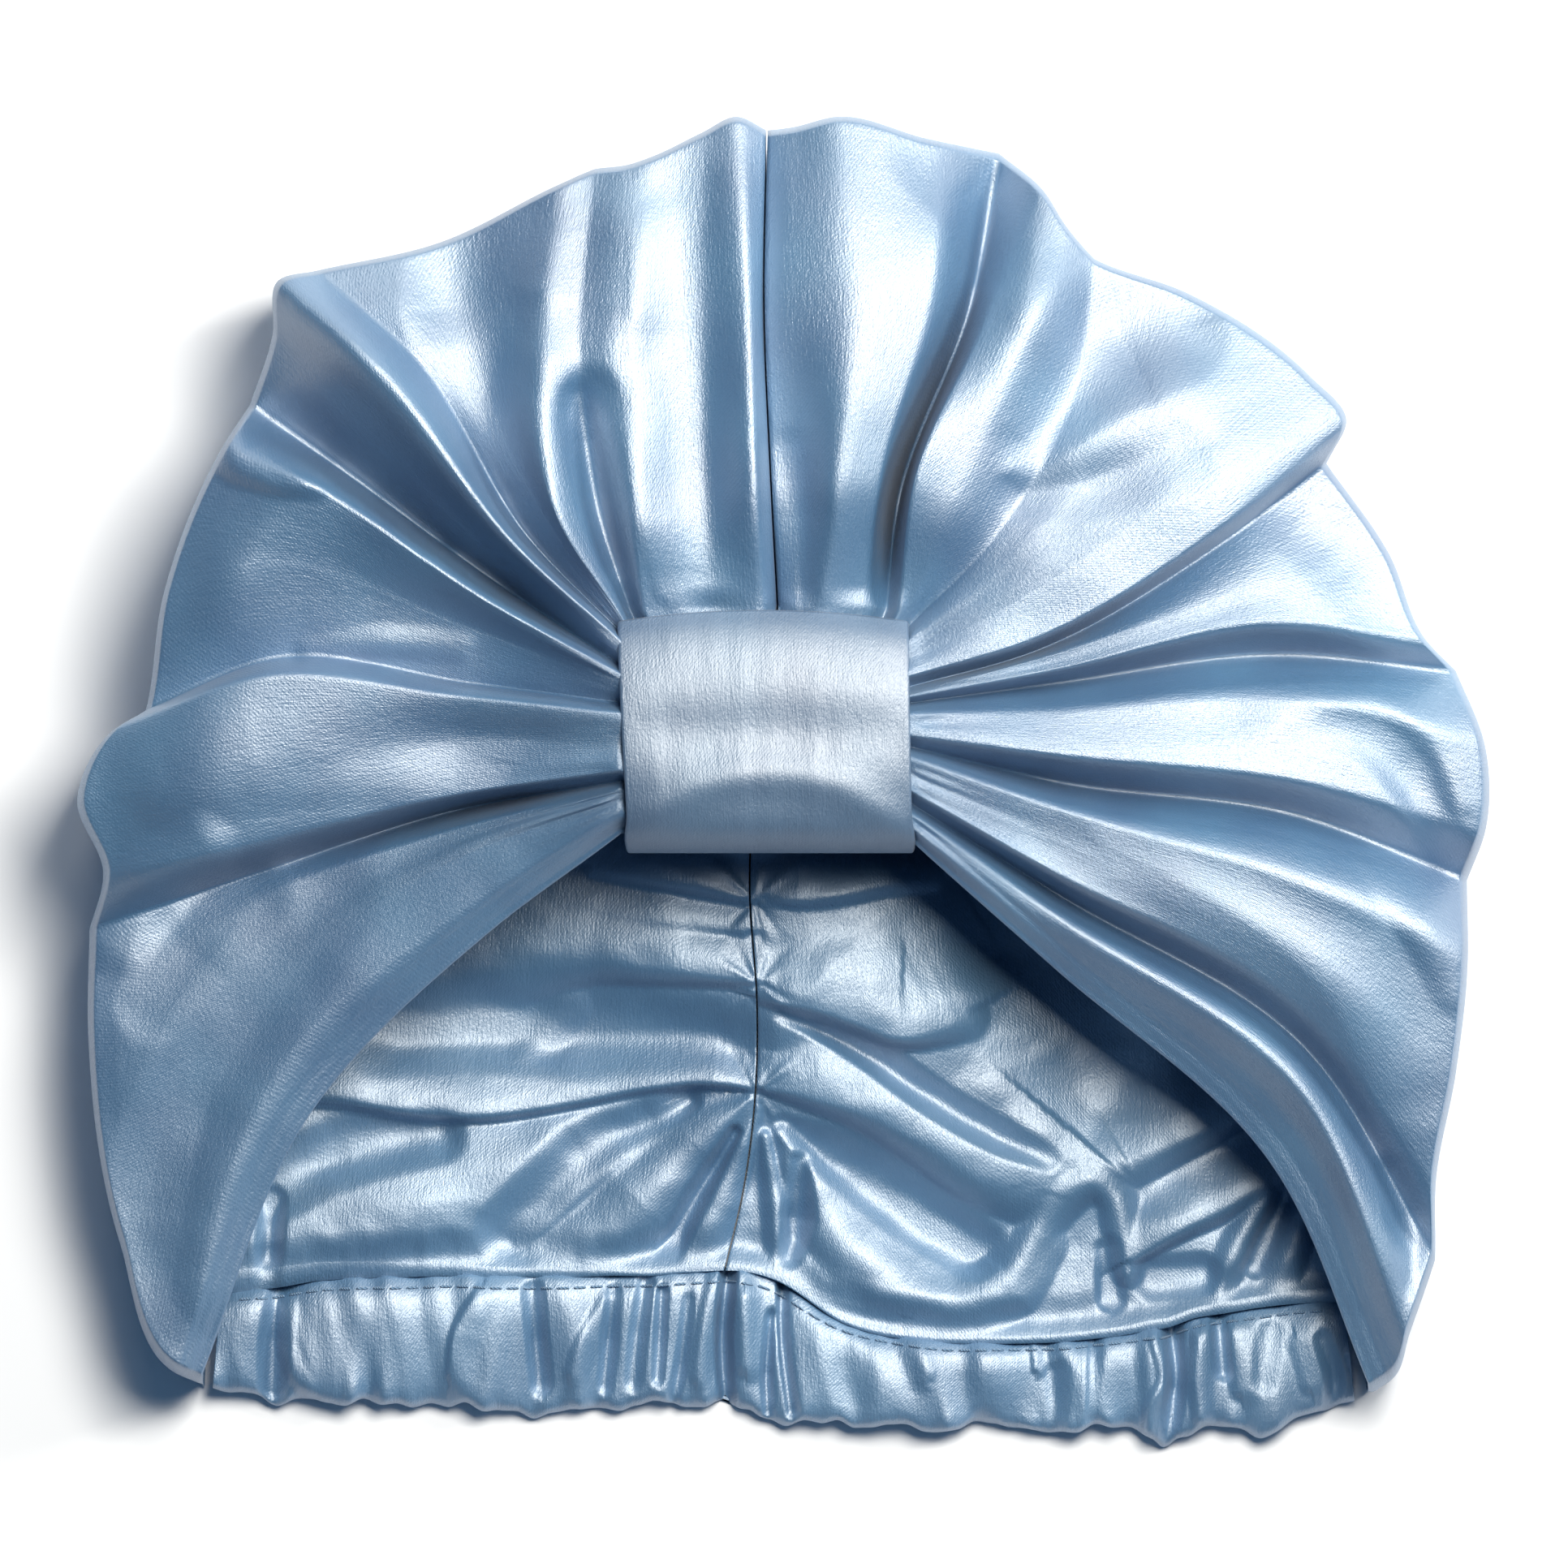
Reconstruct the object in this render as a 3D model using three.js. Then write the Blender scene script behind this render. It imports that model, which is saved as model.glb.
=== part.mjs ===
// A satin sleep bonnet with a gathered front, lying on its back. Millimetres, +Z up.
//
// The floor is Z = 0. The cap lies with its face opening upward, +Y runs from the nape hem to the crown,
// and +X runs to the right as one looks down on it. The origin is on the floor, under the middle of the
// cap's outline.
//
// The front is cut in two halves that meet at the centre seam. Its pleats are gathered under the knot band
// and fan out to the rim, where the cloth rolls over and runs back underneath to the side seam. There it
// meets the two halves of the back, which lie on the floor and end at the elastic nape casing.
import * as THREE from "three";

// Driving dimensions
const WIDTH = 295;
const HEIGHT = 278;
const LOFT = 80;
const FRONT_DRAPE = 2;
const BACK_WALL = 1.5;
const BAND_WIDTH = 58.7;
const BAND_LENGTH = 48.8;
const BAND_WALL = 1.6;
const BAND_INSIDE = 20;
const CASING_LOFT = 11;
const FOLD_SPREAD = 12;
const FOLD_RISE = 10;
const GAP = 0.35;
const SEAM_GAP = 0.5;

// Places and shares that follow the driving dimensions
const BAND_MIDDLE = new THREE.Vector2(-0.0156 * WIDTH, 0.0406 * HEIGHT);
const BAND_LEFT = BAND_MIDDLE.x - BAND_WIDTH / 2;
const BAND_RIGHT = BAND_MIDDLE.x + BAND_WIDTH / 2;
const BAND_HEM = BAND_MIDDLE.y - BAND_LENGTH / 2;
const BAND_TOP = BAND_MIDDLE.y + BAND_LENGTH / 2;
const BAND_LEG_BEND = new THREE.Vector2(0.3 * BAND_INSIDE, 0.508 * LOFT);
const BAND_LEG_END = new THREE.Vector2(BAND_INSIDE, 0.5 * LOFT);
const HUB_WIDTH = 0.76 * BAND_WIDTH;
const HUB_INSET = 0.06 * BAND_LENGTH;
const HUB_HEIGHT = 0.68 * LOFT;

// How the front's cloth turns over at the rim: the share of a fold line that rolls, the share of its drop
// that comes before the roll, and the share of the way back to the side seam that it rolls under
const ROLL_SHARE = 0.22;
const SHOULDER_SHARE = 0.75;
const UNDER_ROLL_SHARE = 0.35;

// How the back's folds run out: a bell of this power across, and a fade over the last share of their length
const FOLD_BELL_POWER = 1.5;
const FOLD_FADE_SHARE = 0.45;
const FOLD_END_SHARE = 0.15;
const FOLD_STEPS = 12;

// Height at which the back's cloth runs into the casing, and how far from the casing it has come down
const CASING_LEAN = 0.38 * CASING_LOFT;
const LEAN_REACH = 9;

// Where each kind of fold line leaves the band, as a depth below the band's inner face in shares of LOFT,
// and the share of that depth that is left where the line starts
const ROOT_DIP = { edge: 0.03, ridge: 0.006, slope: 0.03, crease: 0.075 };
const HUB_DIP_SHARE = 0.25;

// Fold lines of the gathered front, from the left end of the face opening round to the right end.
// root is the share of the way round the band where the line comes out, from the left end of the opening.
// near, far and rim are places on its way out, each as shares of WIDTH, HEIGHT and LOFT.
// crisp is how sharply a crease is pinched, from 0 to 1.
const FOLD_COLUMNS = ["name", "kind", "crisp", "root", "near", "far", "rim"];
const FOLD_ROWS = [
  ["left_edge", "edge", 0, 0.009, [-0.212, -0.11, 0.51], [-0.336, -0.243, 0.34], [-0.418, -0.45, 0.09]],
  ["left_edge_roll", "ridge", 0, 0.034, [-0.218, -0.086, 0.62], [-0.356, -0.211, 0.46], [-0.431, -0.444, 0.11]],
  ["left_cheek", "slope", 0, 0.049, [-0.235, -0.059, 0.61], [-0.411, -0.205, 0.45], [-0.471, -0.345, 0.17]],
  ["left_jaw", "slope", 0, 0.063, [-0.246, -0.04, 0.57], [-0.434, -0.131, 0.45], [-0.493, -0.186, 0.23]],
  ["left_low_cut", "crease", 1, 0.075, [-0.235, -0.021, 0.47], [-0.365, -0.065, 0.46], [-0.492, -0.11, 0.24]],
  ["left_low_lip", "ridge", 0, 0.091, [-0.235, -0.008, 0.68], [-0.388, -0.046, 0.65], [-0.482, -0.068, 0.24]],
  ["left_puff", "slope", 0, 0.124, [-0.235, 0.029, 0.7], [-0.39, 0.003, 0.71], [-0.5, -0.012, 0.29]],
  ["left_puff_top", "ridge", 0, 0.165, [-0.229, 0.064, 0.76], [-0.362, 0.078, 0.76], [-0.477, 0.037, 0.3]],
  ["left_mid_cut", "crease", 0.8, 0.182, [-0.223, 0.075, 0.64], [-0.356, 0.094, 0.65], [-0.452, 0.054, 0.26]],
  ["left_temple", "slope", 0, 0.199, [-0.218, 0.113, 0.69], [-0.373, 0.162, 0.74], [-0.439, 0.141, 0.31]],
  ["left_high_lip", "ridge", 0, 0.219, [-0.206, 0.133, 0.79], [-0.33, 0.219, 0.81], [-0.397, 0.252, 0.31]],
  ["left_high_cut", "crease", 1, 0.232, [-0.205, 0.152, 0.56], [-0.31, 0.233, 0.6], [-0.378, 0.284, 0.29]],
  ["left_tip_slope", "slope", 0, 0.247, [-0.193, 0.162, 0.69], [-0.313, 0.284, 0.75], [-0.362, 0.336, 0.31]],
  ["left_tip", "ridge", 0, 0.264, [-0.189, 0.177, 0.81], [-0.284, 0.307, 0.89], [-0.358, 0.376, 0.34]],
  ["left_tip_cut", "crease", 0.7, 0.277, [-0.18, 0.183, 0.66], [-0.258, 0.315, 0.8], [-0.33, 0.384, 0.33]],
  ["left_crown_hollow", "slope", 0, 0.288, [-0.17, 0.199, 0.75], [-0.22, 0.321, 0.81], [-0.244, 0.405, 0.31]],
  ["dimple_left", "ridge", 0, 0.299, [-0.16, 0.199, 0.84], [-0.177, 0.315, 0.89], [-0.16, 0.448, 0.34]],
  ["dimple", "crease", 0.5, 0.318, [-0.13, 0.199, 0.74], [-0.144, 0.303, 0.82], [-0.134, 0.46, 0.34]],
  ["dimple_right", "ridge", 0, 0.339, [-0.105, 0.199, 0.84], [-0.117, 0.321, 0.9], [-0.111, 0.463, 0.34]],
  ["left_crown_ridge", "ridge", 0, 0.381, [-0.084, 0.199, 0.82], [-0.097, 0.333, 0.91], [-0.094, 0.469, 0.35]],
  ["left_crown_flat", "slope", 0, 0.434, [-0.056, 0.223, 0.8], [-0.061, 0.345, 0.89], [-0.059, 0.487, 0.34]],
  ["seam_left_roll", "ridge", 0, 0.498, [-0.022, 0.223, 0.86], [-0.027, 0.358, 0.95], [-0.034, 0.499, 0.35]],
  ["centre_seam", "crease", 1, 0.52, [-0.01, 0.223, 0.75], [-0.015, 0.358, 0.85], [-0.013, 0.489, 0.31]],
  ["seam_right", "slope", 0, 0.545, [0.007, 0.223, 0.79], [0.001, 0.358, 0.9], [0.004, 0.491, 0.34]],
  ["crown_top", "ridge", 0, 0.584, [0.039, 0.229, 0.89], [0.053, 0.37, 0.99], [0.037, 0.499, 0.36]],
  ["crown_fall", "slope", 0, 0.635, [0.066, 0.229, 0.82], [0.102, 0.376, 0.91], [0.099, 0.483, 0.34]],
  ["crown_cut", "crease", 1, 0.669, [0.08, 0.211, 0.51], [0.13, 0.355, 0.72], [0.151, 0.472, 0.31]],
  ["crown_lip", "ridge", 0, 0.687, [0.092, 0.229, 0.84], [0.139, 0.336, 0.89], [0.182, 0.444, 0.36]],
  ["right_crown_roll", "slope", 0, 0.701, [0.117, 0.217, 0.84], [0.17, 0.333, 0.93], [0.199, 0.416, 0.35]],
  ["right_crown_cut", "crease", 0.6, 0.72, [0.147, 0.183, 0.75], [0.203, 0.29, 0.84], [0.218, 0.393, 0.31]],
  ["right_sail", "slope", 0, 0.739, [0.163, 0.168, 0.8], [0.249, 0.29, 0.88], [0.284, 0.367, 0.35]],
  ["right_sail_high", "slope", 0, 0.761, [0.171, 0.141, 0.82], [0.301, 0.241, 0.91], [0.37, 0.305, 0.36]],
  ["right_tip", "ridge", 0, 0.783, [0.177, 0.11, 0.82], [0.307, 0.194, 0.88], [0.396, 0.272, 0.34]],
  ["right_tip_cut", "crease", 1, 0.799, [0.177, 0.099, 0.68], [0.31, 0.182, 0.72], [0.382, 0.24, 0.29]],
  ["right_high_slope", "slope", 0, 0.807, [0.186, 0.094, 0.75], [0.324, 0.141, 0.79], [0.427, 0.171, 0.31]],
  ["right_high_lip", "ridge", 0, 0.812, [0.192, 0.086, 0.75], [0.336, 0.12, 0.8], [0.452, 0.108, 0.31]],
  ["right_high_cut", "crease", 0.9, 0.82, [0.192, 0.075, 0.62], [0.341, 0.096, 0.65], [0.474, 0.084, 0.29]],
  ["right_mid_top", "ridge", 0, 0.837, [0.192, 0.052, 0.72], [0.353, 0.059, 0.76], [0.495, 0.024, 0.31]],
  ["right_mid_lip", "ridge", 0, 0.861, [0.192, 0.023, 0.75], [0.359, 0.004, 0.75], [0.495, -0.034, 0.28]],
  ["right_mid_cut", "crease", 1, 0.877, [0.192, 0.001, 0.57], [0.359, -0.023, 0.59], [0.482, -0.073, 0.23]],
  ["right_low_top", "ridge", 0, 0.893, [0.192, -0.021, 0.71], [0.359, -0.076, 0.74], [0.482, -0.138, 0.28]],
  ["right_low_fall", "slope", 0, 0.913, [0.186, -0.04, 0.7], [0.365, -0.119, 0.71], [0.474, -0.217, 0.24]],
  ["right_low_lip", "ridge", 0, 0.932, [0.186, -0.063, 0.69], [0.359, -0.163, 0.62], [0.46, -0.3, 0.21]],
  ["right_low_cut", "crease", 0.8, 0.951, [0.192, -0.083, 0.53], [0.365, -0.196, 0.47], [0.46, -0.358, 0.16]],
  ["right_cheek", "ridge", 0, 0.969, [0.192, -0.102, 0.62], [0.359, -0.223, 0.55], [0.442, -0.413, 0.14]],
  ["right_edge_roll", "ridge", 0, 0.982, [0.192, -0.119, 0.59], [0.356, -0.257, 0.46], [0.431, -0.447, 0.11]],
  ["right_edge", "edge", 0, 0.993, [0.192, -0.136, 0.5], [0.344, -0.281, 0.35], [0.418, -0.457, 0.09]],
];

// Side seam where the front's cloth, turned under, meets the back: root share, then shares of WIDTH, HEIGHT
const SIDE_SEAM = [
  [0.009, -0.412, -0.452],
  [0.034, -0.411, -0.425],
  [0.049, -0.406, -0.368],
  [0.075, -0.402, -0.205],
  [0.124, -0.402, -0.060],
  [0.182, -0.374, 0.065],
  [0.232, -0.312, 0.205],
  [0.277, -0.245, 0.300],
  [0.339, -0.125, 0.375],
  [0.434, -0.060, 0.402],
  [0.520, -0.013, 0.412],
  [0.635, 0.075, 0.402],
  [0.701, 0.165, 0.350],
  [0.761, 0.285, 0.252],
  [0.807, 0.362, 0.130],
  [0.861, 0.404, -0.025],
  [0.913, 0.404, -0.190],
  [0.951, 0.398, -0.310],
  [0.969, 0.404, -0.380],
  [0.982, 0.410, -0.425],
  [0.993, 0.4125, -0.455],
];

// Nape casing from its left end to its right one: the upper edge and the hem as shares of WIDTH and HEIGHT,
// and the height of the gathers as a share of CASING_LOFT
const CASING_ROWS = [
  [[-0.400, -0.383], [-0.406, -0.454], 0.75],
  [[-0.380, -0.380], [-0.382, -0.462], 1.00],
  [[-0.361, -0.378], [-0.363, -0.471], 0.55],
  [[-0.333, -0.373], [-0.333, -0.466], 0.95],
  [[-0.304, -0.371], [-0.304, -0.466], 0.62],
  [[-0.270, -0.370], [-0.270, -0.471], 1.00],
  [[-0.235, -0.369], [-0.235, -0.468], 0.60],
  [[-0.205, -0.370], [-0.205, -0.472], 0.95],
  [[-0.174, -0.370], [-0.174, -0.474], 0.58],
  [[-0.148, -0.370], [-0.148, -0.470], 0.95],
  [[-0.125, -0.369], [-0.125, -0.468], 0.62],
  [[-0.094, -0.369], [-0.094, -0.466], 0.90],
  [[-0.073, -0.367], [-0.073, -0.468], 0.60],
  [[-0.058, -0.366], [-0.058, -0.469], 0.92],
  [[-0.043, -0.365], [-0.043, -0.470], 0.50],
  [[-0.028, -0.366], [-0.028, -0.475], 0.90],
  [[-0.008, -0.372], [-0.009, -0.484], 0.50],
  [[0.042, -0.405], [0.042, -0.482], 0.90],
  [[0.105, -0.419], [0.105, -0.486], 0.75],
  [[0.150, -0.420], [0.150, -0.486], 1.00],
  [[0.192, -0.419], [0.192, -0.490], 0.60],
  [[0.222, -0.416], [0.222, -0.487], 0.95],
  [[0.244, -0.413], [0.246, -0.488], 0.55],
  [[0.258, -0.410], [0.260, -0.493], 1.00],
  [[0.271, -0.408], [0.273, -0.500], 0.60],
  [[0.290, -0.401], [0.294, -0.488], 1.00],
  [[0.313, -0.397], [0.317, -0.486], 0.60],
  [[0.336, -0.393], [0.341, -0.488], 1.00],
  [[0.362, -0.390], [0.368, -0.478], 0.62],
  [[0.382, -0.389], [0.389, -0.472], 0.95],
  [[0.396, -0.389], [0.404, -0.463], 0.70],
];

// Section of the casing with its elastic inside: share from hem to upper edge, share of the gathers' height
const CASING_SECTION = [
  [0, 0.35],
  [0.04, 0.78],
  [0.18, 1],
  [0.5, 0.97],
  [0.82, 0.86],
  [0.96, 0.62],
  [1, 0.34],
  [0.97, 0.08],
  [0.86, 0],
  [0.5, 0],
  [0.14, 0],
  [0.03, 0.08],
];

// Centre seam of the back, from the casing up to the crown, as shares of WIDTH and HEIGHT
const BACK_SEAM = [
  [-0.043, -0.366],
  [-0.030, -0.309],
  [-0.021, -0.232],
  [-0.020, -0.168],
  [-0.025, -0.089],
  [-0.020, 0.040],
  [-0.014, 0.405],
];

// Folds that the back's ruched seam throws up inside the cap. start, middle and end are shares of WIDTH and
// HEIGHT, rise and spread shares of FOLD_RISE and FOLD_SPREAD, and crisp narrows the side toward the nape.
const BACK_FOLD_COLUMNS = ["name", "start", "middle", "end", "rise", "spread", "crisp"];
const BACK_FOLD_ROWS = [
  ["left_ruche_1", [-0.032, -0.085], [-0.068, -0.070], [-0.117, -0.059], 0.5, 0.55, 0.6],
  ["left_ruche_2", [-0.034, -0.106], [-0.073, -0.094], [-0.143, -0.078], 0.35, 0.5, 0.8],
  ["left_ruche_3", [-0.032, -0.147], [-0.085, -0.136], [-0.189, -0.113], 0.7, 0.9, 0.55],
  ["left_ruche_4", [-0.030, -0.228], [-0.131, -0.235], [-0.316, -0.229], 0.9, 1, 0.55],
  ["left_fan_1", [-0.072, -0.249], [-0.212, -0.296], [-0.334, -0.350], 0.7, 1.1, 0.9],
  ["left_fan_2", [-0.040, -0.246], [-0.091, -0.296], [-0.151, -0.360], 0.8, 0.9, 0.8],
  ["right_ruche_1", [-0.012, -0.083], [0.024, -0.073], [0.094, -0.079], 0.6, 0.7, 0.6],
  ["right_ruche_2", [-0.010, -0.113], [0.048, -0.122], [0.122, -0.150], 0.4, 0.7, 0.8],
  ["right_ruche_3", [-0.010, -0.163], [0.042, -0.174], [0.105, -0.185], 0.7, 0.7, 0.6],
  ["right_ruche_4", [-0.010, -0.228], [0.076, -0.248], [0.174, -0.309], 0.8, 1, 0.7],
  ["right_fan_1", [-0.004, -0.257], [0.036, -0.324], [0.096, -0.388], 0.8, 0.8, 0.8],
  ["right_shelf", [0.186, -0.318], [0.249, -0.281], [0.313, -0.244], 0.9, 1, 0.7],
  ["right_shelf_low", [0.244, -0.355], [0.295, -0.327], [0.353, -0.290], 0.6, 0.7, 0.7],
  ["right_tent", [0.220, -0.296], [0.203, -0.351], [0.190, -0.392], 0.7, 0.7, 0.8],
];

// Centre line of the knot band in its section, where it wraps the hem and covers the pleats: share of
// BAND_LENGTH from the hem to the crown side, and share of LOFT
const BAND_LINE = [
  [0.030, 0.530],
  [0.012, 0.590],
  [0, 0.650],
  [0.020, 0.730],
  [0.090, 0.795],
  [0.260, 0.845],
  [0.500, 0.870],
  [0.740, 0.850],
  [0.900, 0.805],
  [0.975, 0.765],
];

// Stations along a fold line: the hidden stretch under the band, the open stretch, the roll at the rim and
// the turn underneath, which ends at the side seam
const HIDDEN_STATIONS = [0, 0.4, 0.75];
const OPEN_STATIONS = [0, 0.06, 0.14, 0.24, 0.36, 0.48, 0.6, 0.7];
const ROLL_ANGLES = [0, 24, 46, 68, 90];
const UNDER_ANGLES = [35, 65, 90];
const BAND_STEPS = 30;
const CASING_STEPS = 2;
const PANEL_STEPS_ACROSS = 15;
const PANEL_STEPS_ALONG = 24;
const PANEL_STEP_GROWTH = 1.25;

const mix = (from, to, share) => from + (to - from) * share;
const radians = (degrees) => (degrees * Math.PI) / 180;
const place = ([across, along]) => new THREE.Vector2(across * WIDTH, along * HEIGHT);
const named = (columns, row) => Object.fromEntries(columns.map((column, index) => [column, row[index]]));

// Slope of a curve at a point between two chords. A level curve lies flat at every high and low point.
function slopeBetween(before, after, spanBefore, spanAfter, level) {
  if (level && before * after <= 0) {
    return 0;
  }
  if (level) {
    return (2 * before * after) / (before + after);
  }
  return (before * spanAfter + after * spanBefore) / (spanBefore + spanAfter);
}

// Curve through values at rising knots. corners holds, for each value, how sharp a corner it makes.
function curveThrough(knots, values, { corners = [], level = false } = {}) {
  const spans = knots.slice(1).map((knot, index) => knot - knots[index]);
  const chords = spans.map((span, index) => (values[index + 1] - values[index]) / span);
  const last = chords.length - 1;
  const slopes = values.map((value, index) => {
    const before = Math.max(index - 1, 0);
    const after = Math.min(index, last);
    const slope = slopeBetween(chords[before], chords[after], spans[before], spans[after], level);
    const corner = corners[index] ?? 0;
    return { into: mix(slope, chords[before], corner), out: mix(slope, chords[after], corner) };
  });
  return (knot) => {
    let index = 0;
    while (index < last && knot > knots[index + 1]) {
      index += 1;
    }
    const t = (knot - knots[index]) / spans[index];
    const rest = 1 - t;
    const hold = values[index] * (1 + 2 * t) * rest * rest + values[index + 1] * (3 - 2 * t) * t * t;
    const lean = slopes[index].out * t * rest * rest - slopes[index + 1].into * t * t * rest;
    return hold + lean * spans[index];
  };
}

// Knots for a row of plane points, each as far along as the points before it
function lengthsAlong(points) {
  const knots = [0];
  for (let index = 1; index < points.length; index += 1) {
    const step = Math.hypot(points[index].x - points[index - 1].x, points[index].y - points[index - 1].y);
    knots.push(knots[index - 1] + step);
  }
  return knots;
}

// Plane curve through points, as a function of the share of its length
function planeCurve(points, options) {
  const lengths = lengthsAlong(points);
  const knots = lengths.map((length) => length / lengths.at(-1));
  const across = curveThrough(knots, points.map((point) => point.x), options);
  const along = curveThrough(knots, points.map((point) => point.y), options);
  const at = (share) => new THREE.Vector2(across(share), along(share));
  return { at, knots };
}

// Geometry of a closed body from its vertices and triangles, with the faces turned outward
function closedBody(vertices, triangles) {
  let volume = 0;
  for (const [a, b, c] of triangles) {
    volume += vertices[a].dot(vertices[b].clone().cross(vertices[c]));
  }
  const outward = volume > 0 ? triangles : triangles.map(([a, b, c]) => [a, c, b]);
  const geometry = new THREE.BufferGeometry();
  const positions = vertices.flatMap((vertex) => vertex.toArray());
  geometry.setAttribute("position", new THREE.Float32BufferAttribute(positions, 3));
  geometry.setIndex(outward.flat());
  geometry.computeVertexNormals();
  return geometry;
}

// Wall of cloth between two grids of points of the same size, closed round its four edges
function clothWall(face, lining) {
  const rows = face.length;
  const columns = face[0].length;
  const vertices = [...face.flat(), ...lining.flat()];
  const faceAt = (row, column) => row * columns + column;
  const liningAt = (row, column) => rows * columns + faceAt(row, column);
  const triangles = [];
  for (let row = 0; row < rows - 1; row += 1) {
    for (let column = 0; column < columns - 1; column += 1) {
      const rising = face[row][column].distanceTo(face[row + 1][column + 1]);
      const falling = face[row][column + 1].distanceTo(face[row + 1][column]);
      for (const [corner, flip] of [[faceAt, false], [liningAt, true]]) {
        const [a, b] = [corner(row, column), corner(row, column + 1)];
        const [c, d] = [corner(row + 1, column + 1), corner(row + 1, column)];
        const pair = rising < falling ? [[a, b, c], [a, c, d]] : [[a, b, d], [b, c, d]];
        triangles.push(...(flip ? pair.map(([p, q, r]) => [p, r, q]) : pair));
      }
    }
  }
  const border = [];
  for (let column = 0; column < columns - 1; column += 1) {
    border.push([0, column, 0, column + 1]);
    border.push([rows - 1, column + 1, rows - 1, column]);
  }
  for (let row = 0; row < rows - 1; row += 1) {
    border.push([row + 1, 0, row, 0]);
    border.push([row, columns - 1, row + 1, columns - 1]);
  }
  for (const [row, column, nextRow, nextColumn] of border) {
    const [a, b] = [faceAt(row, column), faceAt(nextRow, nextColumn)];
    const [c, d] = [liningAt(nextRow, nextColumn), liningAt(row, column)];
    triangles.push([a, c, b], [a, d, c]);
  }
  return closedBody(vertices, triangles);
}

// Section of the knot band, from the leg inside the cap round the hem to its end on the crown side. Each
// place in it is a height over a place along Y.
const bandLine = BAND_LINE.map(([along, up]) => {
  return new THREE.Vector2(BAND_WALL / 2 + along * (BAND_LENGTH - BAND_WALL / 2), up * LOFT);
});
const bandPlaces = [BAND_LEG_END, BAND_LEG_BEND, ...bandLine].map((spot) => {
  return new THREE.Vector2(BAND_HEM + spot.x, spot.y);
});
const bandCurve = planeCurve(bandPlaces);

function bandSide(side) {
  const points = [];
  for (let step = 0; step <= BAND_STEPS; step += 1) {
    const share = step / BAND_STEPS;
    const reach = 0.5 / BAND_STEPS;
    const ahead = bandCurve.at(Math.min(share + reach, 1));
    const behind = bandCurve.at(Math.max(share - reach, 0));
    const along = ahead.sub(behind).normalize();
    const offset = new THREE.Vector2(-along.y, along.x).multiplyScalar((side * BAND_WALL) / 2);
    points.push(bandCurve.at(share).add(offset));
  }
  return points;
}

const bandOuter = bandSide(1);
const bandInner = bandSide(-1);

// Height of the band's inner face over a place along Y, on the stretch from its hem to the crown side
const coverStart = bandInner.reduce((low, point, index) => (point.x < bandInner[low].x ? index : low), 0);
const cover = bandInner.slice(coverStart);

function underBand(along) {
  const held = Math.min(Math.max(along, cover[0].x), cover.at(-1).x);
  const after = Math.max(cover.findIndex((point) => point.x >= held), 1);
  const [from, to] = [cover[after - 1], cover[after]];
  return mix(from.y, to.y, (held - from.x) / (to.x - from.x));
}

// Place on the band's outline where a fold line comes out: up the left side, across and down the right side
const ROOT_HEM = BAND_HEM + BAND_WALL + 2 * GAP;
const ROOT_SIDE = BAND_TOP - ROOT_HEM;
const ROOT_ROUND = 2 * ROOT_SIDE + BAND_WIDTH;

function rootPlace(share) {
  const walked = share * ROOT_ROUND;
  if (walked < ROOT_SIDE) {
    return new THREE.Vector2(BAND_LEFT, ROOT_HEM + walked);
  }
  if (walked < ROOT_SIDE + BAND_WIDTH) {
    return new THREE.Vector2(BAND_LEFT + walked - ROOT_SIDE, BAND_TOP + GAP);
  }
  return new THREE.Vector2(BAND_RIGHT, BAND_TOP - (walked - ROOT_SIDE - BAND_WIDTH));
}

// Place under the band where a fold line starts
function hubPlace(share) {
  return new THREE.Vector2(BAND_MIDDLE.x + (share - 0.5) * HUB_WIDTH, ROOT_HEM + HUB_INSET);
}

// Side seam as a curve over the root shares, and the step along it that gives its direction
const seamCurve = {
  across: curveThrough(SIDE_SEAM.map((row) => row[0]), SIDE_SEAM.map((row) => row[1] * WIDTH)),
  along: curveThrough(SIDE_SEAM.map((row) => row[0]), SIDE_SEAM.map((row) => row[2] * HEIGHT)),
};
const SEAM_REACH = 0.002;
const seamPlace = (share) => new THREE.Vector2(seamCurve.across(share), seamCurve.along(share));

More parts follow.
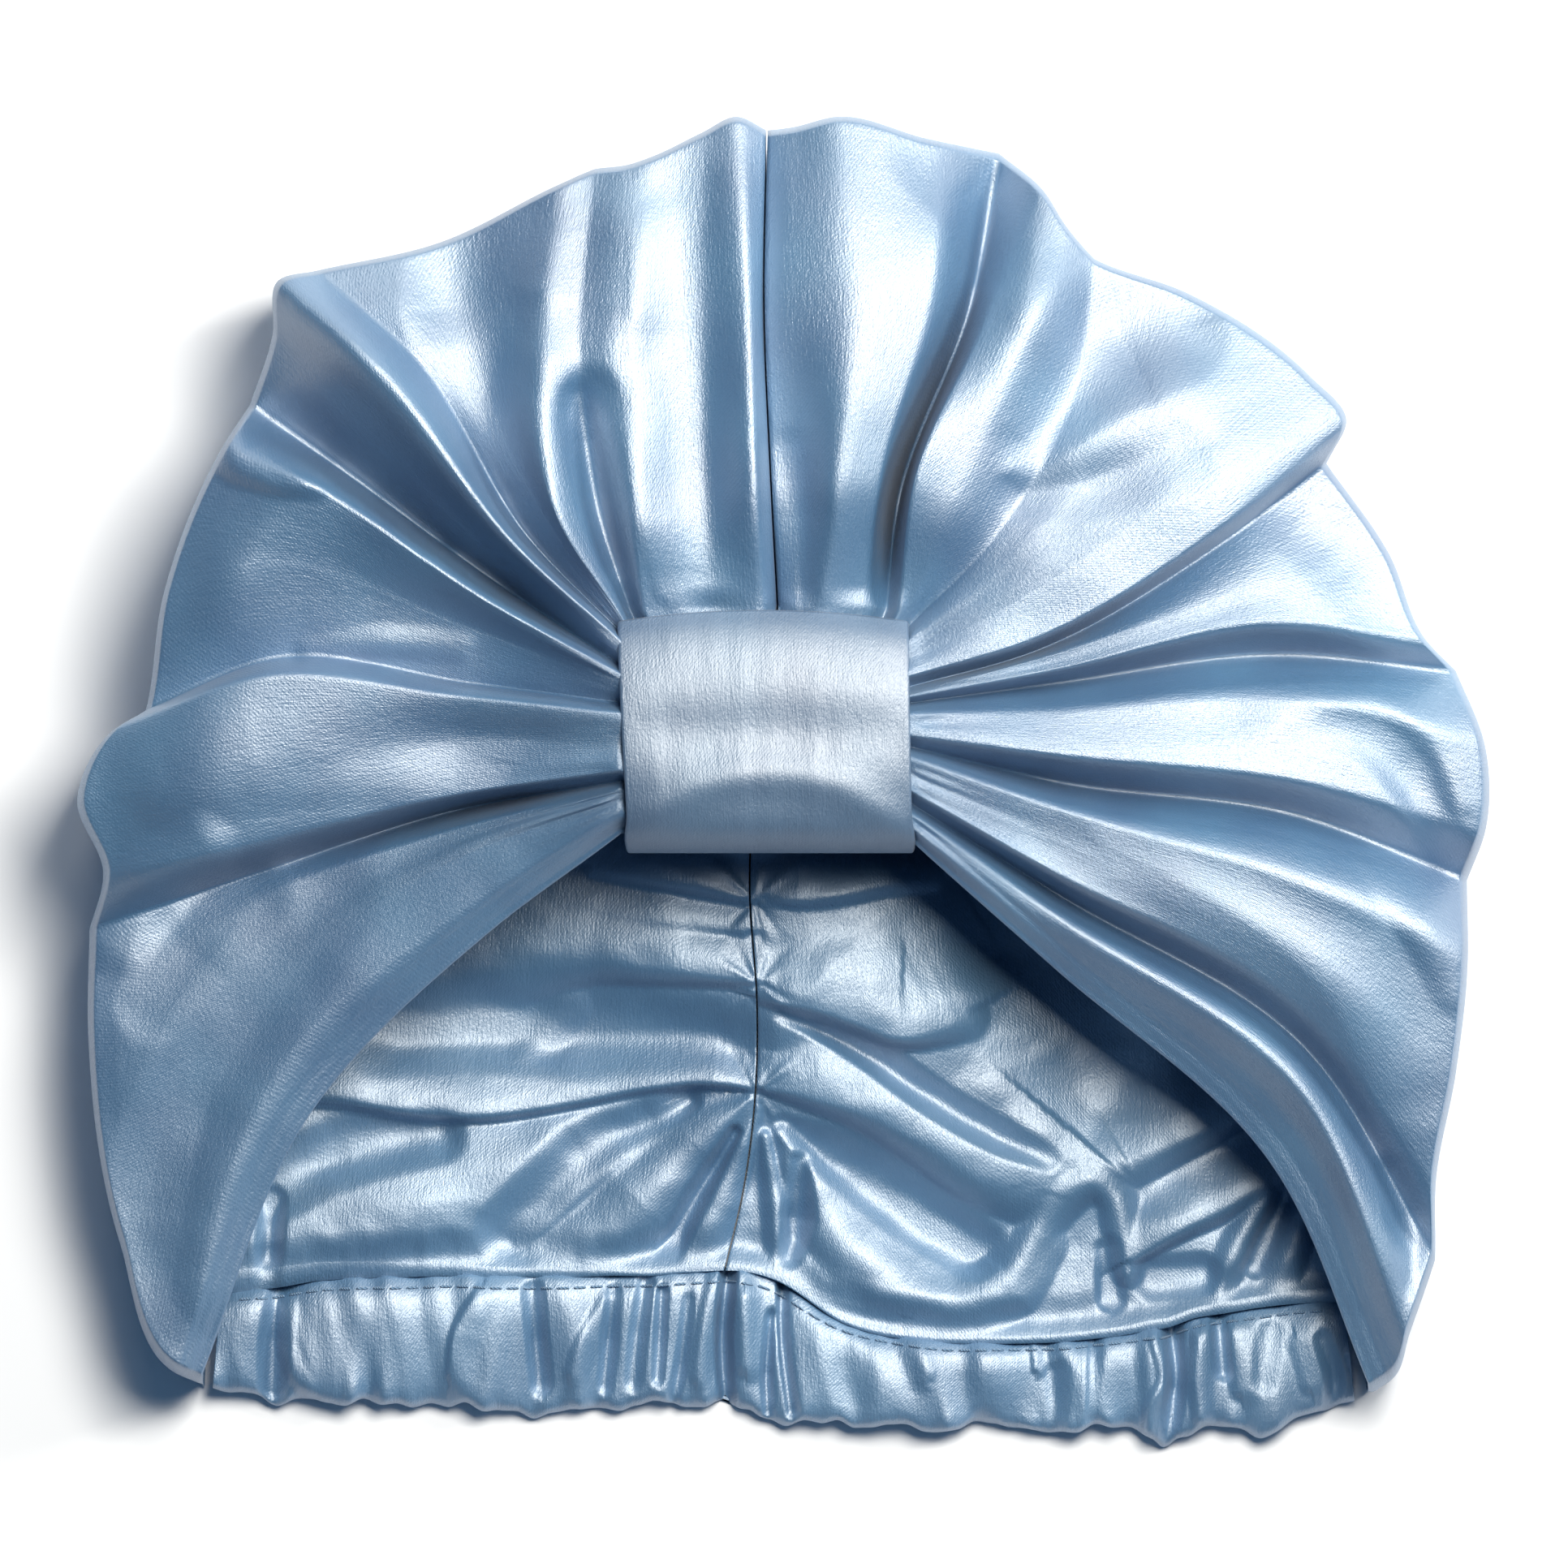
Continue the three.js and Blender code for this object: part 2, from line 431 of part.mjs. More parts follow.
// One fold line as stations from under the band to the side seam. Each station is a point on the cloth's
// outer face and the step from there to its inner face.
function foldStations(fold) {
  const root = rootPlace(fold.root);
  const hub = hubPlace(fold.root);
  const path = planeCurve([root, place(fold.near), place(fold.far), place(fold.rim)]);
  const rootHeight = underBand(root.y) - ROOT_DIP[fold.kind] * LOFT;
  const rimHeight = fold.rim[2] * LOFT;
  const farHeight = fold.far[2] * LOFT;
  const shoulder = mix(rimHeight, farHeight, SHOULDER_SHARE);
  const heights = [rootHeight, fold.near[2] * LOFT, farHeight, shoulder];
  const height = curveThrough(path.knots, heights, { level: true });
  const rim = path.at(1);
  const seam = seamPlace(fold.root);
  const inward = seam.clone().sub(rim).normalize();
  const stations = [];
  const add = (spot, up, drop, shift) => {
    const point = new THREE.Vector3(spot.x, spot.y, up);
    const step = new THREE.Vector3(inward.x * shift, inward.y * shift, drop);
    stations.push({ point, step });
  };
  const hubHeight = HUB_HEIGHT - HUB_DIP_SHARE * ROOT_DIP[fold.kind] * LOFT;
  for (const share of HIDDEN_STATIONS) {
    add(hub.clone().lerp(root, share), mix(hubHeight, rootHeight, share), -FRONT_DRAPE, 0);
  }
  for (const share of OPEN_STATIONS) {
    add(path.at(share), height(share), -FRONT_DRAPE, 0);
  }
  for (const angle of ROLL_ANGLES) {
    const share = 1 - ROLL_SHARE * (1 - Math.sin(radians(angle)));
    const up = mix(rimHeight, height(share), Math.cos(radians(angle)));
    const turn = Math.sin(radians(angle));
    add(path.at(share), up, -FRONT_DRAPE * Math.cos(radians(angle)), BACK_WALL * turn);
  }
  for (const angle of UNDER_ANGLES) {
    const share = UNDER_ROLL_SHARE * (1 - Math.cos(radians(angle)));
    const turn = Math.sin(radians(angle));
    const spot = rim.clone().lerp(seam, share);
    add(spot, rimHeight * (1 - turn), BACK_WALL * turn, BACK_WALL * Math.cos(radians(angle)));
  }
  add(seam, 0, BACK_WALL, 0);
  return stations;
}

// Half of the front: a wall of cloth through its fold lines, with one more column between each two
// The centre seam is its first or its last line, and the wall stops half a gap short of it.
function frontHalf(halfFolds, seamFirst) {
  const lines = halfFolds.map(foldStations);
  const corners = halfFolds.map((fold) => fold.crisp);
  const face = [];
  const lining = [];
  for (let station = 0; station < lines[0].length; station += 1) {
    const row = lines.map((line) => line[station]);
    const knots = lengthsAlong(row.map(({ point }) => point));
    const curve = (values, level) => curveThrough(knots, values, { corners, level });
    const across = curve(row.map(({ point }) => point.x), false);
    const along = curve(row.map(({ point }) => point.y), false);
    const up = curve(row.map(({ point }) => point.z), true);
    const steps = ["x", "y", "z"].map((axis) => curve(row.map(({ step }) => step[axis]), false));
    const between = (index) => mix(knots[index - 1], knots[index], 0.5);
    const columns = knots.flatMap((knot, index) => (index === 0 ? [knot] : [between(index), knot]));
    const facePoints = columns.map((knot) => new THREE.Vector3(across(knot), along(knot), up(knot)));
    const stepsAt = columns.map((knot) => new THREE.Vector3(...steps.map((step) => step(knot))));
    const edge = seamFirst ? 0 : facePoints.length - 1;
    const inside = seamFirst ? 1 : facePoints.length - 2;
    const away = facePoints[inside].clone().sub(facePoints[edge]).setZ(0).normalize();
    facePoints[edge].addScaledVector(away, GAP / 2);
    face.push(facePoints);
    lining.push(facePoints.map((point, index) => point.clone().add(stepsAt[index])));
  }
  return clothWall(face, lining);
}

const folds = FOLD_ROWS.map((row) => named(FOLD_COLUMNS, row));
const centre = folds.findIndex((fold) => fold.name === "centre_seam");
const rootShare = (name) => folds.find((fold) => fold.name === name).root;

// Curve along the casing's upper edge, as a height along Y for a place along X
const casingRows = CASING_ROWS.map(([top, hem, loft]) => ({ top: place(top), hem: place(hem), loft }));
const casingTop = curveThrough(casingRows.map(({ top }) => top.x), casingRows.map(({ top }) => top.y));

function casingGeometry() {
  const knots = casingRows.map((row, index) => index);
  const column = (pick, level) => curveThrough(knots, casingRows.map(pick), { level });
  const topX = column(({ top }) => top.x, false);
  const hemX = column(({ hem }) => hem.x, false);
  const topY = column(({ top }) => top.y, false);
  const hemY = column(({ hem }) => hem.y, false);
  const loft = column((row) => row.loft * CASING_LOFT, true);
  const count = (casingRows.length - 1) * CASING_STEPS;
  const size = CASING_SECTION.length;
  const vertices = [];
  const triangles = [];
  for (let step = 0; step <= count; step += 1) {
    const knot = step / CASING_STEPS;
    for (const [along, up] of CASING_SECTION) {
      const spot = [mix(hemX(knot), topX(knot), along), mix(hemY(knot), topY(knot), along)];
      vertices.push(new THREE.Vector3(...spot, up * loft(knot)));
    }
  }
  for (let step = 0; step < count; step += 1) {
    for (let index = 0; index < size; index += 1) {
      const next = (index + 1) % size;
      const [a, b] = [step * size + index, step * size + next];
      triangles.push([a, b, b + size], [a, b + size, a + size]);
    }
  }
  for (let index = 1; index < size - 1; index += 1) {
    const end = count * size;
    triangles.push([0, index + 1, index], [end, end + index, end + index + 1]);
  }
  return closedBody(vertices, triangles);
}

const backFolds = BACK_FOLD_ROWS.map((row) => {
  const fold = named(BACK_FOLD_COLUMNS, row);
  const curve = planeCurve([place(fold.start), place(fold.middle), place(fold.end)]);
  const points = Array.from({ length: FOLD_STEPS + 1 }, (_, step) => curve.at(step / FOLD_STEPS));
  return { ...fold, points };
});

// Height that one fold of the back adds at a place: a bell across it that fades toward its far end
function foldHeight(fold, spot) {
  let nearest = Infinity;
  let height = 0;
  for (let index = 0; index < fold.points.length - 1; index += 1) {
    const from = fold.points[index];
    const along = fold.points[index + 1].clone().sub(from);
    const offset = spot.clone().sub(from);
    const t = Math.min(Math.max(offset.dot(along) / along.lengthSq(), 0), 1);
    const away = offset.sub(along.clone().multiplyScalar(t));
    if (away.length() < nearest) {
      nearest = away.length();
      const spread = fold.spread * FOLD_SPREAD * (away.y < 0 ? fold.crisp : 1);
      const bell = Math.max(1 - (nearest / spread) ** 2, 0) ** FOLD_BELL_POWER;
      const left = 1 - (index + t) / FOLD_STEPS;
      height = fold.rise * FOLD_RISE * bell * Math.min(1, left / FOLD_FADE_SHARE + FOLD_END_SHARE);
    }
  }
  return height;
}

// Height of the back's upper face at a place
function backHeight(spot) {
  const raised = Math.max(...backFolds.map((fold) => foldHeight(fold, spot)));
  const overCasing = Math.max(spot.y - casingTop(spot.x), 0);
  const lean = CASING_LEAN * Math.exp(-overCasing / LEAN_REACH);
  return BACK_WALL + Math.max(raised, lean);
}

// Half of the back: it fills the floor between the side seam, the casing and the back's own centre seam.
// Its four sides are named after the fold lines that end at its corners.
function backHalf(side) {
  const lines = side < 0 ? ["left_cheek", "left_tip_cut"] : ["right_cheek", "right_sail_high"];
  const [low, wide, high] = [...lines, "centre_seam"].map(rootShare);
  const inset = (share) => {
    const ahead = seamPlace(share + SEAM_REACH).sub(seamPlace(share - SEAM_REACH)).normalize();
    return seamPlace(share).add(new THREE.Vector2(ahead.y, -ahead.x).multiplyScalar(SEAM_GAP));
  };
  const backSeam = planeCurve(BACK_SEAM.map(place));
  const seamFoot = casingTop(backSeam.at(0).x) + GAP;
  const seamTop = inset(high).y;
  const seamPoint = (share) => {
    return new THREE.Vector2(backSeam.at(share).x + (side * GAP) / 2, mix(seamFoot, seamTop, share));
  };
  const outer = (share) => inset(mix(low, wide, share));
  const top = (share) => (share === 1 ? seamPoint(1) : inset(mix(wide, high, share)));
  const foot = (share) => {
    const across = mix(outer(0).x, seamPoint(0).x, share);
    return new THREE.Vector2(across, casingTop(across) + GAP);
  };
  const corners = [foot(0), foot(1), outer(1), seamPoint(1)];
  const face = [];
  for (let row = 0; row <= PANEL_STEPS_ALONG; row += 1) {
    const b = (row / PANEL_STEPS_ALONG) ** PANEL_STEP_GROWTH;
    const points = [];
    for (let column = 0; column <= PANEL_STEPS_ACROSS; column += 1) {
      const a = column / PANEL_STEPS_ACROSS;
      const sides = (row === 0 ? foot(0) : outer(b)).lerp(seamPoint(b), a);
      const ends = foot(a).lerp(top(a), b);
      const footLine = corners[0].clone().lerp(corners[1], a);
      const topLine = corners[2].clone().lerp(corners[3], a);
      const spot = sides.add(ends).sub(footLine.lerp(topLine, b));
      points.push(new THREE.Vector3(spot.x, spot.y, backHeight(spot)));
    }
    face.push(points);
  }
  const under = (point) => new THREE.Vector3(point.x, point.y, Math.max(point.z - BACK_WALL, 0));
  return clothWall(face, face.map((points) => points.map(under)));
}

// Knot band: its section swept across the gathers
function bandGeometry() {
  const outline = new THREE.Shape([...bandOuter, ...bandInner.slice().reverse()]);
  const geometry = new THREE.ExtrudeGeometry(outline, { depth: BAND_WIDTH, bevelEnabled: false });
  const turn = new THREE.Matrix4().set(0, 0, 1, 0, 1, 0, 0, 0, 0, 1, 0, 0, 0, 0, 0, 1);
  return geometry.applyMatrix4(turn);
}

const frontSatin = new THREE.MeshStandardMaterial({ color: 0x9fb9dc, roughness: 0.34, metalness: 0.05 });
const backSatin = new THREE.MeshStandardMaterial({ color: 0x8fabd0, roughness: 0.36, metalness: 0.05 });
const casingSatin = new THREE.MeshStandardMaterial({ color: 0x96b1d5, roughness: 0.38, metalness: 0.05 });
const bandSatin = new THREE.MeshStandardMaterial({ color: 0xa6bddd, roughness: 0.32, metalness: 0.05 });

const bonnet = new THREE.Group();

function addPiece(name, geometry, material) {
  const mesh = new THREE.Mesh(geometry, material);
  mesh.name = name;
  bonnet.add(mesh);
  return mesh;
}

addPiece("crown_left", frontHalf(folds.slice(0, centre + 1), false), frontSatin);
addPiece("crown_right", frontHalf(folds.slice(centre), true), frontSatin.clone());
addPiece("back_left", backHalf(-1), backSatin);
addPiece("back_right", backHalf(1), backSatin.clone());
addPiece("nape_casing", casingGeometry(), casingSatin);
addPiece("knot_band", bandGeometry(), bandSatin).position.x = BAND_LEFT;

export default bonnet;
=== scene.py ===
# A satin sleep bonnet lying on its back, seen from straight above. Sizes and tables are in millimetres, or
# in shares of the named sizes. Lamps, textures and the camera are in metres.
from math import radians

import bpy
import numpy as np
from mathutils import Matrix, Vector


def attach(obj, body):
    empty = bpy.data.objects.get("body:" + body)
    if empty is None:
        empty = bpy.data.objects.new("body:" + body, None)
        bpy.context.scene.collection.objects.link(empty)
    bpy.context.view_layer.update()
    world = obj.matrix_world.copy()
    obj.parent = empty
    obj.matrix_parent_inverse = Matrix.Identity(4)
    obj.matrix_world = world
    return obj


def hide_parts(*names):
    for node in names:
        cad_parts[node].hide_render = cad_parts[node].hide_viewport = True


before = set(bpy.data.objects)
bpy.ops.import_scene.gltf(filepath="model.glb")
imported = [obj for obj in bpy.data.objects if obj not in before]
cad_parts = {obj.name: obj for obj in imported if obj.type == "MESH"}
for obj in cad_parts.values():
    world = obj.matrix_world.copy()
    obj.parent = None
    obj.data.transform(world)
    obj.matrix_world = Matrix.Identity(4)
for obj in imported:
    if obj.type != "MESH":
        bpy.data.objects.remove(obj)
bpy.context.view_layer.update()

# Sizes, as in the solids
MM = 0.001
WIDTH = 295.0
HEIGHT = 278.0
LOFT = 80.0
FRONT_DRAPE = 2.0
BACK_WALL = 1.5
BAND_WIDTH = 58.7
BAND_LENGTH = 48.8
BAND_WALL = 1.6
BAND_INSIDE = 20.0
CASING_LOFT = 11.0
GAP = 0.35
SEAM_GAP = 0.5
UNDER_ROLL_SHARE = 0.35
SHOULDER_SHARE = 0.75

BAND_MIDDLE = np.array([-0.0156 * WIDTH, 0.0406 * HEIGHT])
BAND_LEFT = BAND_MIDDLE[0] - BAND_WIDTH / 2
BAND_RIGHT = BAND_MIDDLE[0] + BAND_WIDTH / 2
BAND_HEM = BAND_MIDDLE[1] - BAND_LENGTH / 2
BAND_TOP = BAND_MIDDLE[1] + BAND_LENGTH / 2
BAND_LEG_BEND = (0.3 * BAND_INSIDE, 0.508 * LOFT)
BAND_LEG_END = (BAND_INSIDE, 0.5 * LOFT)
HUB_WIDTH = 0.76 * BAND_WIDTH
HUB_INSET = 0.06 * BAND_LENGTH
HUB_HEIGHT = 0.68 * LOFT
ROOT_HEM = BAND_HEM + BAND_WALL + 2 * GAP
ROOT_SIDE = BAND_TOP - ROOT_HEM

# Finer than the solids: a tighter roll at the rim, deeper creases under the band, and sides of the band that
# slant to the right toward its hem
ROLL_SHARE = 0.02
ROOT_DIP = {"edge": 0.03, "ridge": 0.004, "slope": 0.03, "crease": 0.09}
HUB_DIP_SHARE = 0.25
BAND_TAPER = 2.4

# Fold lines of the gathered front, as in the solids but for a calmer crown and edges: name, kind, crispness
# and root share round the band, then near, far and rim, each as shares of WIDTH, HEIGHT and LOFT
FOLD_ROWS = [
    ("left_edge", "edge", 0, 0.009, -0.212, -0.11, 0.57, -0.336, -0.243, 0.405, -0.418, -0.45, 0.1),
    ("left_edge_roll", "ridge", 0, 0.034, -0.218, -0.086, 0.62, -0.356, -0.211, 0.46, -0.431, -0.444, 0.11),
    ("left_cheek", "slope", 0, 0.049, -0.235, -0.059, 0.61, -0.411, -0.205, 0.45, -0.471, -0.345, 0.17),
    ("left_jaw", "slope", 0, 0.063, -0.246, -0.04, 0.57, -0.434, -0.131, 0.45, -0.493, -0.186, 0.23),
    ("left_low_cut", "crease", 1, 0.075, -0.235, -0.021, 0.47, -0.365, -0.065, 0.46, -0.492, -0.11, 0.24),
    ("left_low_lip", "ridge", 0, 0.091, -0.235, -0.008, 0.68, -0.388, -0.046, 0.65, -0.482, -0.068, 0.24),
    ("left_puff", "slope", 0, 0.124, -0.235, 0.029, 0.7, -0.39, 0.003, 0.71, -0.5, -0.012, 0.29),
    ("left_puff_top", "ridge", 0, 0.165, -0.229, 0.064, 0.76, -0.362, 0.078, 0.76, -0.477, 0.037, 0.3),
    ("left_mid_cut", "crease", 0.8, 0.182, -0.223, 0.075, 0.64, -0.356, 0.094, 0.65, -0.452, 0.054, 0.26),
    ("left_temple", "slope", 0, 0.199, -0.218, 0.113, 0.69, -0.373, 0.162, 0.74, -0.439, 0.141, 0.31),
    ("left_high_lip", "ridge", 0, 0.219, -0.206, 0.133, 0.79, -0.33, 0.219, 0.81, -0.397, 0.252, 0.31),
    ("left_high_cut", "crease", 1, 0.232, -0.205, 0.152, 0.56, -0.31, 0.233, 0.6, -0.378, 0.284, 0.29),
    ("left_tip_slope", "slope", 0, 0.247, -0.193, 0.162, 0.69, -0.313, 0.284, 0.75, -0.362, 0.336, 0.31),
    ("left_tip", "ridge", 0, 0.264, -0.189, 0.177, 0.81, -0.284, 0.307, 0.89, -0.358, 0.376, 0.34),
    ("left_tip_cut", "crease", 0.7, 0.277, -0.18, 0.183, 0.66, -0.258, 0.315, 0.8, -0.33, 0.384, 0.33),
    ("left_crown_hollow", "slope", 0, 0.288, -0.17, 0.199, 0.75, -0.22, 0.321, 0.81, -0.244, 0.405, 0.31),
    ("dimple_left", "ridge", 0, 0.299, -0.16, 0.199, 0.82, -0.177, 0.315, 0.86, -0.16, 0.448, 0.34),
    ("dimple", "crease", 0.5, 0.318, -0.13, 0.199, 0.73, -0.144, 0.303, 0.835, -0.134, 0.46, 0.34),
    ("dimple_right", "ridge", 0, 0.339, -0.105, 0.199, 0.83, -0.117, 0.321, 0.87, -0.111, 0.463, 0.34),
    ("left_crown_ridge", "ridge", 0, 0.381, -0.084, 0.199, 0.82, -0.097, 0.333, 0.885, -0.094, 0.469, 0.35),
    ("left_crown_flat", "slope", 0, 0.434, -0.056, 0.223, 0.8, -0.061, 0.345, 0.89, -0.059, 0.487, 0.34),
    ("seam_left_roll", "ridge", 0, 0.498, -0.022, 0.223, 0.85, -0.027, 0.358, 0.92, -0.034, 0.499, 0.35),
    ("centre_seam", "crease", 1, 0.52, -0.01, 0.223, 0.77, -0.015, 0.358, 0.865, -0.013, 0.489, 0.31),
    ("seam_right", "slope", 0, 0.545, 0.007, 0.223, 0.79, 0.001, 0.358, 0.9, 0.004, 0.491, 0.34),
    ("crown_top", "ridge", 0, 0.584, 0.039, 0.229, 0.87, 0.053, 0.37, 0.96, 0.037, 0.499, 0.36),
    ("crown_fall", "slope", 0, 0.635, 0.066, 0.229, 0.82, 0.102, 0.376, 0.91, 0.099, 0.483, 0.34),
    ("crown_cut", "crease", 1, 0.669, 0.08, 0.211, 0.51, 0.13, 0.355, 0.72, 0.151, 0.472, 0.31),
    ("crown_lip", "ridge", 0, 0.687, 0.092, 0.229, 0.84, 0.139, 0.336, 0.89, 0.182, 0.444, 0.36),
    ("right_crown_roll", "slope", 0, 0.701, 0.117, 0.217, 0.84, 0.17, 0.333, 0.93, 0.199, 0.416, 0.35),
    ("right_crown_cut", "crease", 0.6, 0.72, 0.147, 0.183, 0.78, 0.203, 0.29, 0.885, 0.218, 0.393, 0.31),
    ("right_sail", "slope", 0, 0.739, 0.163, 0.168, 0.8, 0.249, 0.29, 0.88, 0.284, 0.367, 0.35),
    ("right_sail_high", "slope", 0, 0.761, 0.171, 0.141, 0.82, 0.301, 0.241, 0.91, 0.37, 0.305, 0.36),
    ("right_tip", "ridge", 0, 0.783, 0.177, 0.11, 0.82, 0.307, 0.194, 0.88, 0.396, 0.272, 0.34),
    ("right_tip_cut", "crease", 1, 0.799, 0.177, 0.099, 0.68, 0.31, 0.182, 0.72, 0.382, 0.24, 0.29),
    ("right_high_slope", "slope", 0, 0.807, 0.186, 0.094, 0.75, 0.324, 0.141, 0.79, 0.427, 0.171, 0.31),
    ("right_high_lip", "ridge", 0, 0.812, 0.192, 0.086, 0.75, 0.336, 0.12, 0.8, 0.452, 0.108, 0.31),
    ("right_high_cut", "crease", 0.9, 0.82, 0.192, 0.075, 0.62, 0.341, 0.096, 0.65, 0.474, 0.084, 0.29),
    ("right_mid_top", "ridge", 0, 0.837, 0.192, 0.052, 0.72, 0.353, 0.059, 0.76, 0.495, 0.024, 0.31),
    ("right_mid_lip", "ridge", 0, 0.861, 0.192, 0.023, 0.75, 0.359, 0.004, 0.75, 0.495, -0.034, 0.28),
    ("right_mid_cut", "crease", 1, 0.877, 0.192, 0.001, 0.57, 0.359, -0.023, 0.59, 0.482, -0.073, 0.23),
    ("right_low_top", "ridge", 0, 0.893, 0.192, -0.021, 0.71, 0.359, -0.076, 0.74, 0.482, -0.138, 0.28),
    ("right_low_fall", "slope", 0, 0.913, 0.186, -0.04, 0.7, 0.365, -0.119, 0.71, 0.474, -0.217, 0.24),
    ("right_low_lip", "ridge", 0, 0.932, 0.186, -0.063, 0.69, 0.359, -0.163, 0.62, 0.46, -0.3, 0.21),
    ("right_low_cut", "crease", 0.8, 0.951, 0.192, -0.083, 0.53, 0.365, -0.196, 0.47, 0.46, -0.358, 0.16),
    ("right_cheek", "ridge", 0, 0.969, 0.192, -0.102, 0.62, 0.359, -0.223, 0.55, 0.442, -0.413, 0.14),
    ("right_edge_roll", "ridge", 0, 0.982, 0.192, -0.119, 0.59, 0.356, -0.257, 0.46, 0.431, -0.447, 0.11),
    ("right_edge", "edge", 0, 0.993, 0.192, -0.136, 0.55, 0.344, -0.281, 0.41, 0.418, -0.457, 0.1),
]

# How much lower than the solid's the cloth lies at its far points, by root share
FAR_EASE = [
    (0, -2), (0.1, -2), (0.2, 1), (0.3, 7), (0.45, 9), (0.6, 11), (0.76, 10), (0.84, 4), (0.92, -1),
    (1, -3),
]

